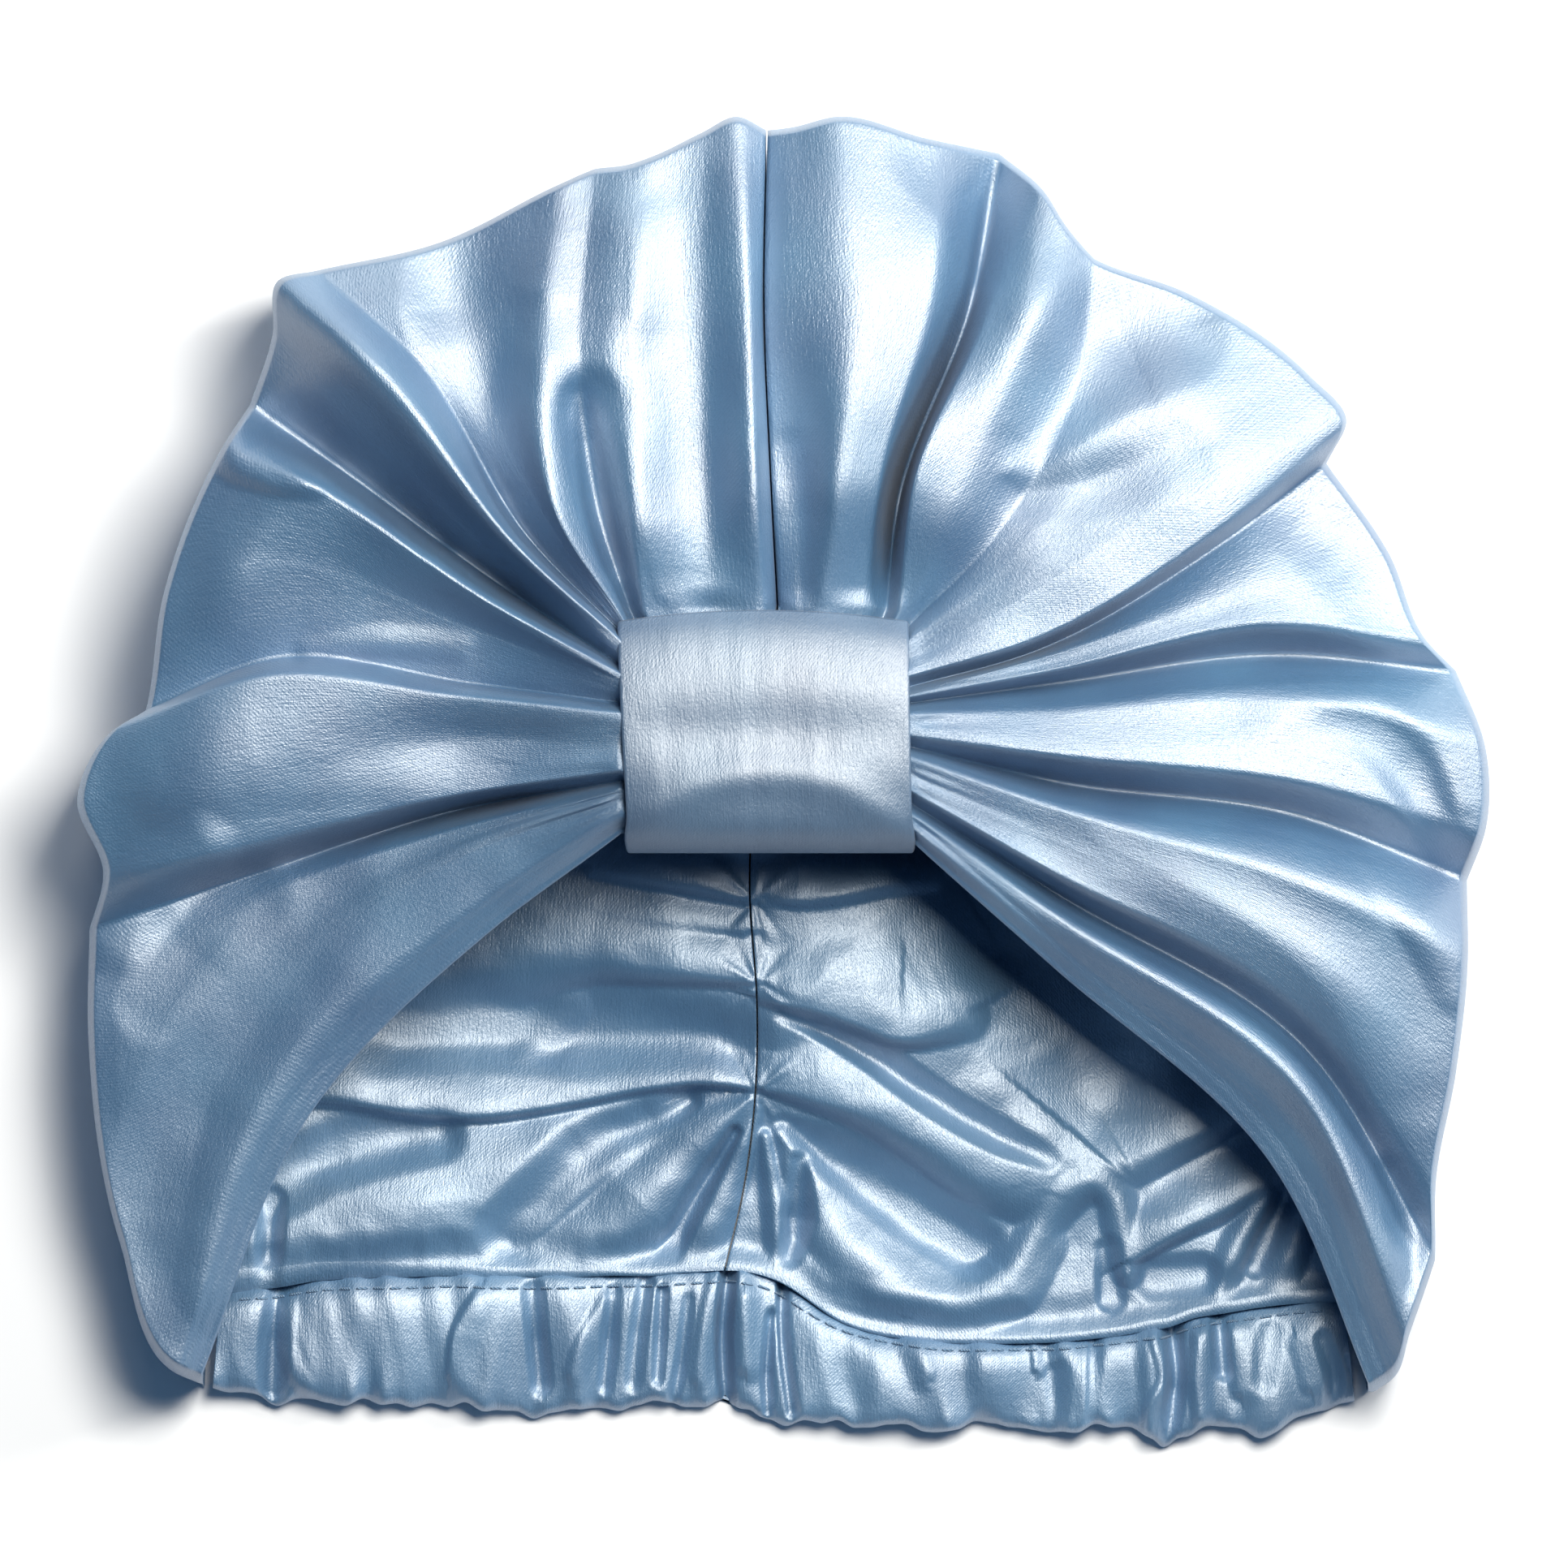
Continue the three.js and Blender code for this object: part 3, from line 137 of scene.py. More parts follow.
# Folds, hollows and swells are lines of places across and along the cap, each with its rise and its width on
# the left and on the right of the line. These lie between the front's fold lines.
FRONT_FOLDS = {
    "dimple_hood": [
        (-34.4, 37.4, 0.5, 3.4, 1.5), (-41.7, 51.9, 1.1, 7.8, 2), (-46.8, 66.3, 1.5, 9.5, 2.4),
        (-48.9, 78.2, 1.6, 9.5, 2.8), (-45.8, 85.2, 1.4, 9, 3.4), (-39.7, 87.9, 1.1, 8, 3.6),
        (-33.2, 83.3, 0.8, 6.1, 2.8), (-31, 68.9, 0.7, 5.4, 2.1), (-29, 53.6, 0.5, 5.4, 2.1),
        (-25.4, 39.1, 0.3, 3.4, 1.7),
    ],
    "dimple_pocket": [
        (-43, 79.5, -1.1, 3, 3.2), (-41.2, 70.9, -2.1, 2.6, 3.4), (-38.9, 58.3, -2.3, 2.4, 3.4),
        (-35.2, 45.4, -1.2, 1.8, 2.6),
    ],
    "crown_swell": [
        (-42.1, 127.5, 1, 10.2, 10.2), (-37.8, 114.8, 2.4, 11.9, 11.9), (-39.5, 99.5, 2.8, 11.9, 13.6),
        (-42.1, 89.2, 2, 9.4, 10.2),
    ],
    "crown_valley": [
        (-62.8, 118.1, -1.8, 11.4, 11.4), (-65.3, 98.1, -4.2, 12.2, 11.2), (-62.4, 80.1, -4.2, 9.5, 7.7),
        (-55.8, 62.1, -2.2, 6, 6),
    ],
    "seam_valley": [
        (-21, 119.9, -1.4, 8.5, 8.5), (-19.9, 92.7, -3, 10.2, 9.2), (-19.9, 62.1, -2.8, 9.4, 7.5),
        (-21, 45.1, -1.2, 6, 6),
    ],
    "high_hollow": [
        (-105.8, 75.7, -1.6, 5.8, 5.8), (-96.5, 70.9, -3.4, 7.5, 5.8), (-84.6, 62.1, -4, 6.5, 4.8),
        (-73.5, 51, -2.2, 4.8, 3.7),
    ],
    "left_tip_roll": [
        (-100.5, 98, 1, 5, 4), (-84, 84, 2, 6, 4.5), (-71, 67, 2.2, 5, 4), (-58, 50, 1.6, 3.6, 3),
        (-44, 36, 0.6, 2.4, 2),
    ],
    "left_curl": [
        (-113.5, 75.7, 1.6, 4.1, 4.1), (-114.2, 67.2, 2.8, 4.4, 4.1), (-108.4, 63.4, 2.4, 4.1, 2.7),
        (-96.5, 61.7, 1.2, 3.7, 2.7),
    ],
    "temple_streak": [
        (-98.2, 26.7, 0.8, 3.1, 2.7), (-82.9, 28.7, 1.6, 3.4, 2.7), (-67.6, 27.9, 0.8, 3.1, 2.7),
    ],
    "puff_swell": [
        (-127.1, 0, 0.8, 10.2, 8.5), (-110.1, 5.1, 2, 11.9, 9.4), (-91.4, 6.8, 1.8, 11.9, 9.4),
        (-67.6, 5.1, 0.8, 10.2, 8.5),
    ],
    "low_curl": [
        (-121.1, -13.6, 1.4, 6.1, 6.1), (-132.2, -21.2, 2.4, 7.1, 7.1), (-139, -32.3, 1.4, 6.1, 6.1),
    ],
    "low_valley": [
        (-111.8, -23.8, -1.4, 6.8, 6.8), (-124.5, -34, -2, 7.7, 7.7), (-132.2, -46.8, -1.2, 6.1, 6.1),
    ],
    "crown_dip": [(31, 131.8, -1.6, 8.5, 8.5), (39.5, 123.3, -2.8, 9.4, 8.5), (42.2, 109.7, -2, 6.8, 6.1)],
    "seam_crinkle": [(1.3, 68.9, -0.8, 4.1, 4.1), (3.8, 55.3, -1.6, 4.8, 4.4), (3.1, 40, -1, 3.4, 3.4)],
    "sail_dimple": [
        (50.6, 70.9, -1.2, 6.8, 5.8), (59.9, 82.8, -3.2, 9.8, 8.8), (70.1, 91.1, -4.6, 12.9, 11.2),
        (80.5, 94, -2.6, 11.2, 9.5),
    ],
    "sail_diagonal": [
        (49.7, 64.4, 0.7, 5.1, 3.7), (58.2, 67, 1.2, 6, 4.4), (68.4, 72, 1.1, 7, 5.4),
        (81.2, 80, 0.6, 8.5, 8.5),
    ],
    "sail_valley": [(49.7, 59.3, -0.8, 5, 5), (63.3, 61.7, -1.4, 6.4, 6.4), (81.2, 67.2, -0.9, 7.8, 7.1)],
    "high_dip": [
        (107.5, 55.3, -0.8, 6.8, 6.8), (117.7, 46.4, -2.4, 9.4, 8.5), (126.6, 34.5, -1.4, 7.7, 6.8),
    ],
    "crescent_pocket": [
        (109.2, 12.6, -0.6, 5.1, 5.1), (120.1, 10.3, -1.8, 6.1, 5.1), (128, 2.4, -2.6, 6.1, 4.4),
        (133.6, -7.3, -2.6, 5.1, 4), (137.8, -15.8, -1, 4.1, 3.4),
    ],
    "crescent_lip": [
        (112.3, 20.6, 0.7, 7.1, 4.7), (125.9, 17.8, 1.3, 7.1, 4.7), (136.1, 9, 1.4, 6.1, 4.2),
        (140.9, -3.2, 1, 5.1, 3.7),
    ],
    "left_panel_swell": [
        (-62, -22, 1, 9, 9), (-84, -44, 2.6, 12, 12), (-104, -72, 3, 12, 13), (-116, -104, 1.6, 9, 9),
    ],
    "left_panel_valley": [
        (-96, -24, -1, 9, 9), (-118, -58, -2.2, 10, 10), (-132, -88, -2.4, 9, 9), (-132, -114, -1.2, 7, 7),
    ],
    "right_panel_swell": [(72, 44, 1.2, 12, 12), (94, 58, 2.2, 14, 14), (112, 68, 1.4, 12, 12)],
    "right_puff_valley": [(66, 16, -0.8, 7, 7), (92, 20, -2, 9, 9), (114, 28, -1.4, 9, 9)],
    "right_low_valley": [
        (70, -6, -1, 7, 6), (98, -18, -2, 9, 8), (122, -38, -2.2, 10, 9), (132, -62, -1, 8, 8),
    ],
    "low_ridge": [
        (122.7, -12.8, 1.2, 5.1, 5.1), (133, -28.1, 2.4, 6.5, 5.8), (139.5, -42.5, 1.2, 5.1, 4.8),
    ],
    "leg_pocket": [
        (125.9, -80.8, -1.2, 3.1, 3.1), (129.1, -91, -2.6, 4.4, 3.7), (130.6, -103.7, -1.2, 3.1, 3.1),
    ],
    "leg_ridge": [
        (135.9, -87.6, 0.8, 3.1, 3.1), (135.1, -101.2, 1.8, 4.1, 3.7), (131, -116.5, 0.8, 3.1, 3.1),
    ],
}

# Side seam, as in the solids: root share, then shares of WIDTH and HEIGHT
SIDE_SEAM = [
    (0.009, -0.412, -0.452), (0.034, -0.411, -0.425), (0.049, -0.406, -0.368), (0.075, -0.402, -0.205),
    (0.124, -0.402, -0.06), (0.182, -0.374, 0.065), (0.232, -0.312, 0.205), (0.277, -0.245, 0.3),
    (0.339, -0.125, 0.375), (0.434, -0.06, 0.402), (0.52, -0.013, 0.412), (0.635, 0.075, 0.402),
    (0.701, 0.165, 0.35), (0.761, 0.285, 0.252), (0.807, 0.362, 0.13), (0.861, 0.404, -0.025),
    (0.913, 0.404, -0.19), (0.951, 0.398, -0.31), (0.969, 0.404, -0.38), (0.982, 0.41, -0.425),
    (0.993, 0.4125, -0.455),
]

# Nape casing, its edges as in the solids: upper edge and hem as shares of WIDTH and HEIGHT, and how full the
# gathers are
CASING_ROWS = [
    (-0.4, -0.383, -0.406, -0.454, 0.75), (-0.38, -0.38, -0.382, -0.462, 1.0),
    (-0.361, -0.378, -0.363, -0.471, 0.55), (-0.333, -0.373, -0.333, -0.466, 0.95),
    (-0.304, -0.371, -0.304, -0.466, 0.62), (-0.27, -0.37, -0.27, -0.471, 1.0),
    (-0.235, -0.369, -0.235, -0.468, 0.6), (-0.205, -0.37, -0.205, -0.472, 0.95),
    (-0.174, -0.37, -0.174, -0.474, 0.58), (-0.148, -0.37, -0.148, -0.47, 0.95),
    (-0.125, -0.369, -0.125, -0.468, 0.62), (-0.094, -0.369, -0.094, -0.466, 0.9),
    (-0.073, -0.367, -0.073, -0.468, 0.6), (-0.058, -0.366, -0.058, -0.469, 0.92),
    (-0.043, -0.365, -0.043, -0.47, 0.5), (-0.028, -0.366, -0.028, -0.475, 0.9),
    (-0.008, -0.372, -0.009, -0.484, 0.5), (0.042, -0.405, 0.042, -0.482, 0.9),
    (0.105, -0.419, 0.105, -0.486, 0.75), (0.15, -0.42, 0.15, -0.486, 1.0),
    (0.192, -0.419, 0.192, -0.49, 0.6), (0.222, -0.416, 0.222, -0.487, 0.95),
    (0.244, -0.413, 0.246, -0.488, 0.55), (0.258, -0.41, 0.26, -0.493, 1.0),
    (0.271, -0.408, 0.273, -0.5, 0.6), (0.29, -0.401, 0.294, -0.488, 1.0),
    (0.313, -0.397, 0.317, -0.486, 0.6), (0.336, -0.393, 0.341, -0.488, 1.0),
    (0.362, -0.39, 0.368, -0.478, 0.62), (0.382, -0.389, 0.389, -0.472, 0.95),
    (0.396, -0.389, 0.404, -0.463, 0.7),
]

# Casing's section: share of the way from hem to upper edge, and share of the height of the gathers
CASING_SECTION = [
    (0, 0.3), (0.01, 0.5), (0.05, 0.66), (0.12, 0.74), (0.22, 0.79), (0.36, 0.84), (0.55, 0.89),
    (0.72, 0.9), (0.84, 0.85), (0.93, 0.73), (0.985, 0.6), (0.99, 0.2), (0.94, 0.02), (0.8, 0), (0.5, 0),
    (0.15, 0), (0.03, 0.04),
]

# The back's centre seam, as shares of WIDTH and HEIGHT, and where it is drawn tight: place and noise seed
BACK_SEAM = [
    (-0.043, -0.366), (-0.03, -0.309), (-0.021, -0.232), (-0.02, -0.168), (-0.025, -0.089), (-0.02, 0.04),
    (-0.014, 0.405),
]
SEAM_PINCHES = [(-6.3, -24.5, 61), (-5.5, -42, 62), (-6, -64.6, 63)]

# Folds seen through the face opening
BACK_FOLDS = {
    "left_swag_1": [
        (-39.5, -17.5, 2, 5.1, 1.7), (-28.5, -19.6, 4, 6, 1.7), (-18.3, -21.6, 4.5, 6, 1.4),
        (-8.4, -24.3, 3, 3.7, 0.9),
    ],
    "left_swag_2": [
        (-47.2, -24.3, 1.5, 4.2, 1.4), (-28.5, -28.4, 2.5, 4.2, 1.4), (-8.9, -30.8, 2, 3.1, 0.9),
    ],
    "left_swag_3": [
        (-69.3, -31.5, 3, 10.2, 10.2), (-54, -34, 5, 10.2, 7.7), (-38.7, -36.2, 6, 8.5, 3.7),
        (-23.4, -38.6, 6.5, 7.7, 2.4), (-7.2, -41.3, 4, 5.1, 1),
    ],
    "left_streak": [
        (-62.5, -67.2, 1.5, 4.2, 3.4), (-54, -58.7, 2.5, 3.7, 3.1), (-45.5, -46.8, 1.5, 3.4, 3.1),
    ],
    "left_lip": [
        (-108.4, -65.5, 4, 7.7, 1.4), (-93.1, -65.8, 6, 8.5, 1.4), (-79.5, -68.5, 7, 8.5, 1.2),
        (-62.5, -69.2, 7.5, 8.5, 1.2), (-45.5, -66.8, 7, 7.7, 1.2), (-28.5, -63.4, 6.5, 6.8, 1.2),
        (-14.9, -62.4, 6, 6, 1), (-6.4, -63.8, 3.5, 3.4, 0.7),
    ],
    "left_puff": [
        (-108.4, -96.1, 4, 10.2, 8.5), (-88, -91.8, 7, 11.9, 10.2), (-62.5, -85, 7, 10.2, 8.5),
        (-42.1, -75.7, 6, 7.7, 6.8), (-28.5, -68.9, 4, 5.1, 5.1),
    ],
    "left_fan_1": [
        (-45.5, -102.9, 4, 6, 5.1), (-30.2, -87.6, 7, 6.8, 5.4), (-18.3, -75.7, 6.5, 5.4, 4.4),
        (-7.2, -66.5, 3, 2, 1.7),
    ],
    "left_fan_2": [
        (-21.7, -106.3, 3, 3.7, 3.1), (-14, -87.6, 5, 3.7, 3.1), (-8.9, -75.7, 4.5, 2.4, 2),
        (-6, -68, 2.5, 1, 1),
    ],
    "left_corner": [
        (-121.1, -106.6, 3, 3.1, 1.7), (-115.2, -111, 4, 3.1, 1.4), (-108.4, -109, 4, 2.7, 1.4),
        (-105.8, -102.9, 2, 1.7, 1.4),
    ],
    "right_panel": [
        (-6, -23, 2, 4.2, 1), (3, -24.3, 5, 7.7, 1.2), (12.3, -23, 5, 6.8, 1.4), (22.5, -20.4, 4, 5.1, 2),
        (31, -19.6, 2, 3.4, 2),
    ],
    "right_swag": [
        (-5, -44.7, 3, 6, 1), (5.5, -47.1, 6, 10.2, 1.4), (15.7, -50.5, 7.5, 11.9, 1.4),
        (24.2, -53.2, 7.5, 11.9, 1.4), (31, -51.5, 6, 10.2, 2.4), (37, -48.5, 4, 8.5, 3.4),
    ],
    "right_pinch": [
        (-5, -63.4, 3, 4.2, 0.9), (5.5, -65.8, 6, 7.7, 1.7), (15.7, -68.5, 7, 7.7, 2.4),
        (27.6, -74, 7, 7.7, 3.4), (39.5, -80.8, 7, 7.7, 4.2), (51.4, -84.5, 6, 7.7, 5.1),
    ],
    "right_bowl": [
        (-0.4, -73.1, 2.5, 1.7, 1.7), (5.5, -85.9, 5, 4.2, 4.2), (14, -97.8, 6.5, 6, 5.1),
        (24.2, -106.3, 7, 6, 5.1), (36.1, -110, 6, 5.1, 4.2), (46.3, -104.6, 5.5, 4.8, 4.8),
        (53.1, -96.1, 4, 3.7, 3.7),
    ],
    "right_hem_puff": [(1.3, -104.6, 4, 6, 2.4), (10.6, -108, 5, 6.8, 2), (22.5, -111, 4, 5.1, 1.7)],
    "right_loop": [
        (47.2, -103.7, 3, 2.4, 2.4), (52.3, -94.4, 4.5, 3, 3), (58.2, -86.7, 5.5, 3.4, 3),
        (64.2, -83.3, 6, 3.4, 2.6), (68.6, -86, 5.5, 3, 2.6), (70.3, -93, 5, 3, 2.6),
        (71.5, -102, 4, 2.4, 2.2),
    ],
    "right_shelf": [
        (72.7, -99.1, 5, 5.1, 1.4), (82, -93.5, 6.5, 6, 1.7), (92.2, -88.4, 6.5, 6, 2),
        (102.4, -81.6, 5, 5.1, 2.4), (110.9, -75.7, 3, 4.2, 2.4),
    ],
    "right_upper_shelf": [
        (54.8, -82.8, 4, 10.2, 5.1), (68.4, -79.4, 6, 10.2, 4.2), (82, -74.3, 6.5, 10.2, 3.1),
        (95.6, -68.2, 6, 8.5, 2.4), (107.5, -60.4, 4, 6.8, 2.4),
    ],
    "right_tent_1": [(90.5, -106.6, 3, 2.4, 2.4), (94.8, -96.1, 4, 2.4, 2), (100.7, -85.9, 4, 2.4, 2)],
    "right_tent_2": [(103.3, -106.3, 3, 2.4, 2.4), (106.7, -96.1, 4, 2.4, 2.4), (110.1, -87.6, 3, 2, 2)],
    "seam_right_pleat": [(-1.3, -101.2, 3, 2, 1.7), (-2.1, -87.6, 4, 2, 1.7), (-4.2, -74, 3, 1.4, 1)],
}

# Hollows between those folds
BACK_HOLLOWS = {
    "left_valley": [
        (-84.6, -51.9, -2.5, 6.8, 6.8), (-62.5, -50.5, -3, 7.7, 6.8), (-35.3, -52.7, -3, 8.5, 7.7),
        (-11.5, -55.3, -3, 6.8, 6),
    ],
    "left_fan_valley": [
        (-59.1, -93.5, -3, 4.4, 4.4), (-42.1, -77.4, -3.5, 5.1, 4.4), (-20, -66.3, -2, 2.4, 2),
    ],
    "left_fan_valley_2": [
        (-26.4, -103.7, -3, 2.4, 2), (-17.9, -85.9, -3, 2.4, 2), (-10.6, -73.1, -2, 1.4, 1.2),
    ],
    "left_lip_shadow": [
        (-108.4, -85.9, -3, 5.1, 5.1), (-93.1, -78.2, -3, 6, 5.1), (-72.7, -74, -2.5, 4.2, 4.2),
    ],
    "left_drop": [(-107.5, -87.6, -3, 2.4, 2.4), (-108, -97.8, -4, 2.4, 2.4), (-108.4, -108, -3, 2, 2)],
    "right_crease": [
        (-0.4, -48.5, -1, 1.7, 1.4), (7.2, -51.5, -3, 2.4, 1.7), (17.4, -57.3, -4, 3.4, 2),
        (29.3, -65.5, -3.5, 3.4, 2.4), (44.6, -74.3, -3, 3.4, 2.4), (54.8, -78.7, -1, 2.4, 2),
    ],
    "right_hollow": [
        (46.3, -36.6, -3, 11.9, 10.2), (56.5, -51.9, -3.5, 15.3, 13.6), (65, -67.2, -3, 11.9, 8.5),
    ],
    "right_bowl_valley": [
        (-0.4, -71.4, -1.5, 1.7, 1.7), (12.3, -79.4, -3, 5.1, 4.1), (25.9, -88.9, -4, 5.8, 4.8),
        (39.5, -97.8, -3.5, 5.1, 4.4),
    ],
    "right_seam_valley": [(3, -79.1, -2, 1.7, 1.7), (2.5, -91, -4, 3.1, 2.7), (0.8, -99.5, -2, 2, 2)],
    "right_loop_valley": [(67.1, -97.8, -2, 2.7, 2), (67.7, -108, -4, 2.7, 2)],
    "right_shelf_shadow": [(76.9, -103.7, -3, 3.4, 3.4), (87.1, -102.9, -3, 3.4, 3.4)],
    "right_dark_tent": [(98.2, -101.2, -3, 2, 2), (104.1, -87.6, -3, 2, 2)],
}

# The back's broad rise under the band and its fall to the right
BACK_SWELL = [(-34, 36, 10, 55, 64), (-12, -4, 14, 50, 66), (14, -34, 15, 42, 62), (40, -56, 8, 32, 46)]

# The casing's larger gathers, and the gaps between them
CASING_FOLDS = {
    "deep_left": [(-105.8, -106.3, -4, 2, 2), (-107, -116.5, -5.5, 2.2, 2.2), (-107.4, -128, -4, 2, 2)],
    "lip_left": [
        (-104.5, -108, 1.5, 1.4, 1.4), (-104.6, -118.2, 1.5, 1.5, 1.4), (-101.2, -127, 1.5, 2, 1.4),
    ],
    "puff_left": [(-87.1, -111.4, 1.5, 11.9, 11.9), (-86.3, -121.6, 1.5, 11.9, 11.9)],
    "streak_left": [
        (-63.8, -105.9, 1.5, 2.7, 0.9), (-68.9, -114.8, 2.6, 3.4, 0.9), (-70, -123.6, 1.5, 3.1, 0.9),
    ],
    "gap_1": [
        (-53.1, -106.3, -3, 1.7, 1.7), (-52.3, -116.5, -4.5, 1.7, 1.5), (-51.3, -125.8, -3, 1.7, 1.5),
    ],
    "streak_2": [
        (-37.3, -108, 1.2, 1.7, 1.4), (-41.7, -115.6, 1.8, 2.4, 1.4), (-44.5, -123.3, 1.2, 2, 1.4),
    ],
    "gap_2": [(-36.1, -106.3, -2, 1.2, 1.2), (-37, -116.5, -3.5, 1.4, 1.2), (-37.8, -125.8, -2, 1.2, 1.2)],
    "gap_3": [(-29.3, -104.6, -3, 1.4, 1.4), (-30.9, -114.8, -3.5, 1.4, 1.4), (-31.9, -125, -2, 1.4, 1.4)],
    "gap_4": [(-25.9, -106.3, -3, 1, 1), (-26.4, -116.5, -3, 1, 1), (-26.8, -125, -2, 1, 1)],
    "gap_5": [(-20.3, -108, -1, 1, 1), (-22, -121.6, -2.5, 1, 1), (-23.4, -128.7, -2, 1, 1)],
    "streak_3": [(-14.9, -103.7, 1.5, 2, 1.4), (-16.9, -114.8, 2, 2, 1.4), (-18.3, -124.1, 1.2, 1.7, 1.4)],
    "seam_fold": [
        (-12, -101.2, -6, 1.4, 1.2), (-13.3, -114.8, -6, 1.4, 1.2), (-12.5, -129.7, -4, 1.4, 1.2),
    ],
    "seam_puff": [(-8.4, -108, 1.8, 2.4, 2), (-8.1, -121.6, 1.8, 2.4, 2)],
    "gap_6": [(-3, -111.4, -3, 1, 0.9), (-4, -123.3, -3.5, 1, 0.9), (-3.7, -132.6, -2, 1, 0.9)],
    "step": [(-0.9, -101.2, -5, 1.2, 0.7), (-0.9, -114.8, -5, 1.2, 0.7), (1.3, -131.8, -3, 1.2, 0.9)],
    "wave_1": [(29.3, -123.3, 1.2, 2.4, 1.7), (27.3, -117.3, 1.2, 2.4, 1.7)],
    "wave_2": [(51.8, -114.8, 1.2, 1.4, 0.7), (52.4, -122.4, 1.4, 1.4, 0.7)],
    "gap_7": [(56.5, -123.3, -1.5, 2, 1.7), (56.9, -135.5, -2, 1.5, 1.5)],
    "edge_1": [(64.3, -117.3, -1.6, 1.4, 0.9), (63.7, -133.5, -1, 1.4, 0.9)],
    "loop": [
        (77.8, -115.6, 2.5, 1.5, 1.4), (79.3, -125, 3, 1.5, 1.4), (76.2, -130.9, 2.5, 1.5, 1.2),
        (75.9, -136, 2, 1.4, 1.2),
    ],
    "deep_right": [(81, -114.8, -4, 1.5, 1.4), (81.3, -126.7, -6, 1.5, 1.5), (80, -138.9, -4, 1.5, 1.5)],
    "streak_4": [(86.8, -115.6, 3, 2, 1.5), (86.1, -125, 2.6, 2, 1.5), (87.1, -132.6, 1.5, 1.7, 1.5)],
    "gap_8": [(90.5, -111.4, -3, 1.4, 1.4), (91.5, -123.3, -2.5, 1.4, 1.4)],
    "streak_5": [(93.9, -114.8, 2, 2.4, 1.7), (95.3, -126.7, 2, 2.4, 1.7)],
    "gap_9": [(101.1, -114.8, -2, 2, 2), (100, -125, -1.5, 2, 2)],
    "streak_6": [(107.2, -117.3, 1.5, 2.7, 1.7), (109.6, -125.8, 1.5, 2.7, 1.7)],
    "gap_10": [(112.3, -116.5, -2, 1.5, 1.5), (114.7, -125, -4, 1.5, 1.5), (114.3, -132.6, -3, 1.4, 1.4)],
    "loop_2": [(118.4, -119.5, 2.5, 1.4, 1), (120.4, -125, 2.5, 1.4, 1)],
}

# Knot band's section over the top: share of BAND_LENGTH, and height as a share of LOFT
BAND_LINE = [
    (0.03, 0.53), (0.012, 0.59), (0, 0.65), (0.02, 0.735), (0.09, 0.8), (0.26, 0.845), (0.5, 0.862),
    (0.74, 0.852), (0.9, 0.815), (0.975, 0.77),
]

# For each kind of fold: how crisp its right flank is, and the gain of its rise and of its two widths
FRONT_GAIN = (1.6, (1, 1.5, 1.35))
BACK_GAIN = (1.2, (0.74, 1.85, 1.75))
HOLLOW_GAIN = (2, (1.1, 1.6, 1.6))
SWELL_GAIN = (2, (1, 1, 1))
CASING_GAIN = (2, (0.7, 2, 1.7))

# Small folds under the band: how many across, their lean and waver over one beat, rise, and reach
GATHERS = [(46, 0.6, 1.5, 0.8, 16), (21, 0.4, 1.2, 1.2, 45)]
GATHER_BEAT = 60
GATHER_START = 5

# Unevenness of the front: size of a patch, rise. Of the back: size across and along, rise, noise seed.
UNEVEN = [(24, 0.9), (10, 0.22)]
BACK_UNEVEN = [(13, 9, 0.45, 31), (5, 4, 0.22, 32)]

# Where the back is gathered into the casing, and where its seam is drawn tight
RUFFLE_CELL = (2.6, 14)
RUFFLE_SEED = 33
RUFFLE_RISE = 0.9
RUFFLE_LIFT = 0.5
RUFFLE_REACH = 4
PINCH_FOLDS = 4.2
PINCH_LENGTH = 30
PINCH_RISE = 0.9
PINCH_REACH = 9
PINCH_START = 3

# The back puffs up away from the casing, lies flatter toward the crown and never sinks into the floor
BACK_PUFF = 2.6
PUFF_START = 10
PUFF_END = 20
PUFF_FADE = 40
BACK_LEAST = 0.15
BACK_STIFFNESS = 2.4

# Gathers along the casing: length, lean and waver round the tube, rise, noise seed. The finest are given
# by length, waver and seed, and are strongest at the two edges. Waves of the hem: length, rise, noise seed.
CASING_UNEVEN = [(6, 0.9, 1.1, 1.5, 42), (14, -0.8, 0.6, 1.4, 45)]
EDGE_GATHERS = (3.4, 1.6, 41)
EDGE_SHARE = 0.7
EDGE_WIDTHS = (0.16, 0.2)
HEM_WAVES = [(3.6, 0.9, 43), (9, 0.9, 44)]
HEM_WAVE_REACH = 0.3

# The casing's height: its least share, and what a full gather adds. Its section: how large it is, under
# which share of the height folds fade, and the bounds of the height.
FULL_LEAST = 0.55
FULL_GAIN = 0.35
SECTION_SIZE = (26, 9)
SECTION_FOOT = 0.45
CASING_LEAST = 0.2
CASING_MOST = 1.1 * CASING_LOFT

# The band: how its slant fades, its lip and how far that pushes its sides out, and its creases, each with
# size, beats along it, rise and noise seed. Its bulges and its dip: place and width as shares of its length,
# and rise. The roll bows toward the hem at its two ends, and the swell is strongest near the middle.
BAND_TAPER_POWER = 1.3
BAND_LIP = (0.04, 0.07)
LIP_LEFT = 0.8
LIP_RIGHT = 0.6
BAND_UNEVEN = [(3, 3, 0.12, 51), (11, 4, 0.35, 52)]
BAND_ROLL = (0.33, 0.09, 1.2)
BAND_ROLL_BOW = 0.22
BAND_DIP = (0.52, 0.12, 0.9)
BAND_SWELL = (0.8, 0.12, 0.4)
SWELL_ACROSS = (0.1, 0.5)

# Its far edge bows away from the hem, the whole lies a little nearer the hem, and its sides fall. Its leg
# inside the cap has no folds.
BAND_ARCH = 2.2
ARCH_SHARE = 0.3
BAND_SHIFT = 1.4
BAND_FALL = 1.5
LEG_SHARE = 0.3
LEG_BLEND = 0.12

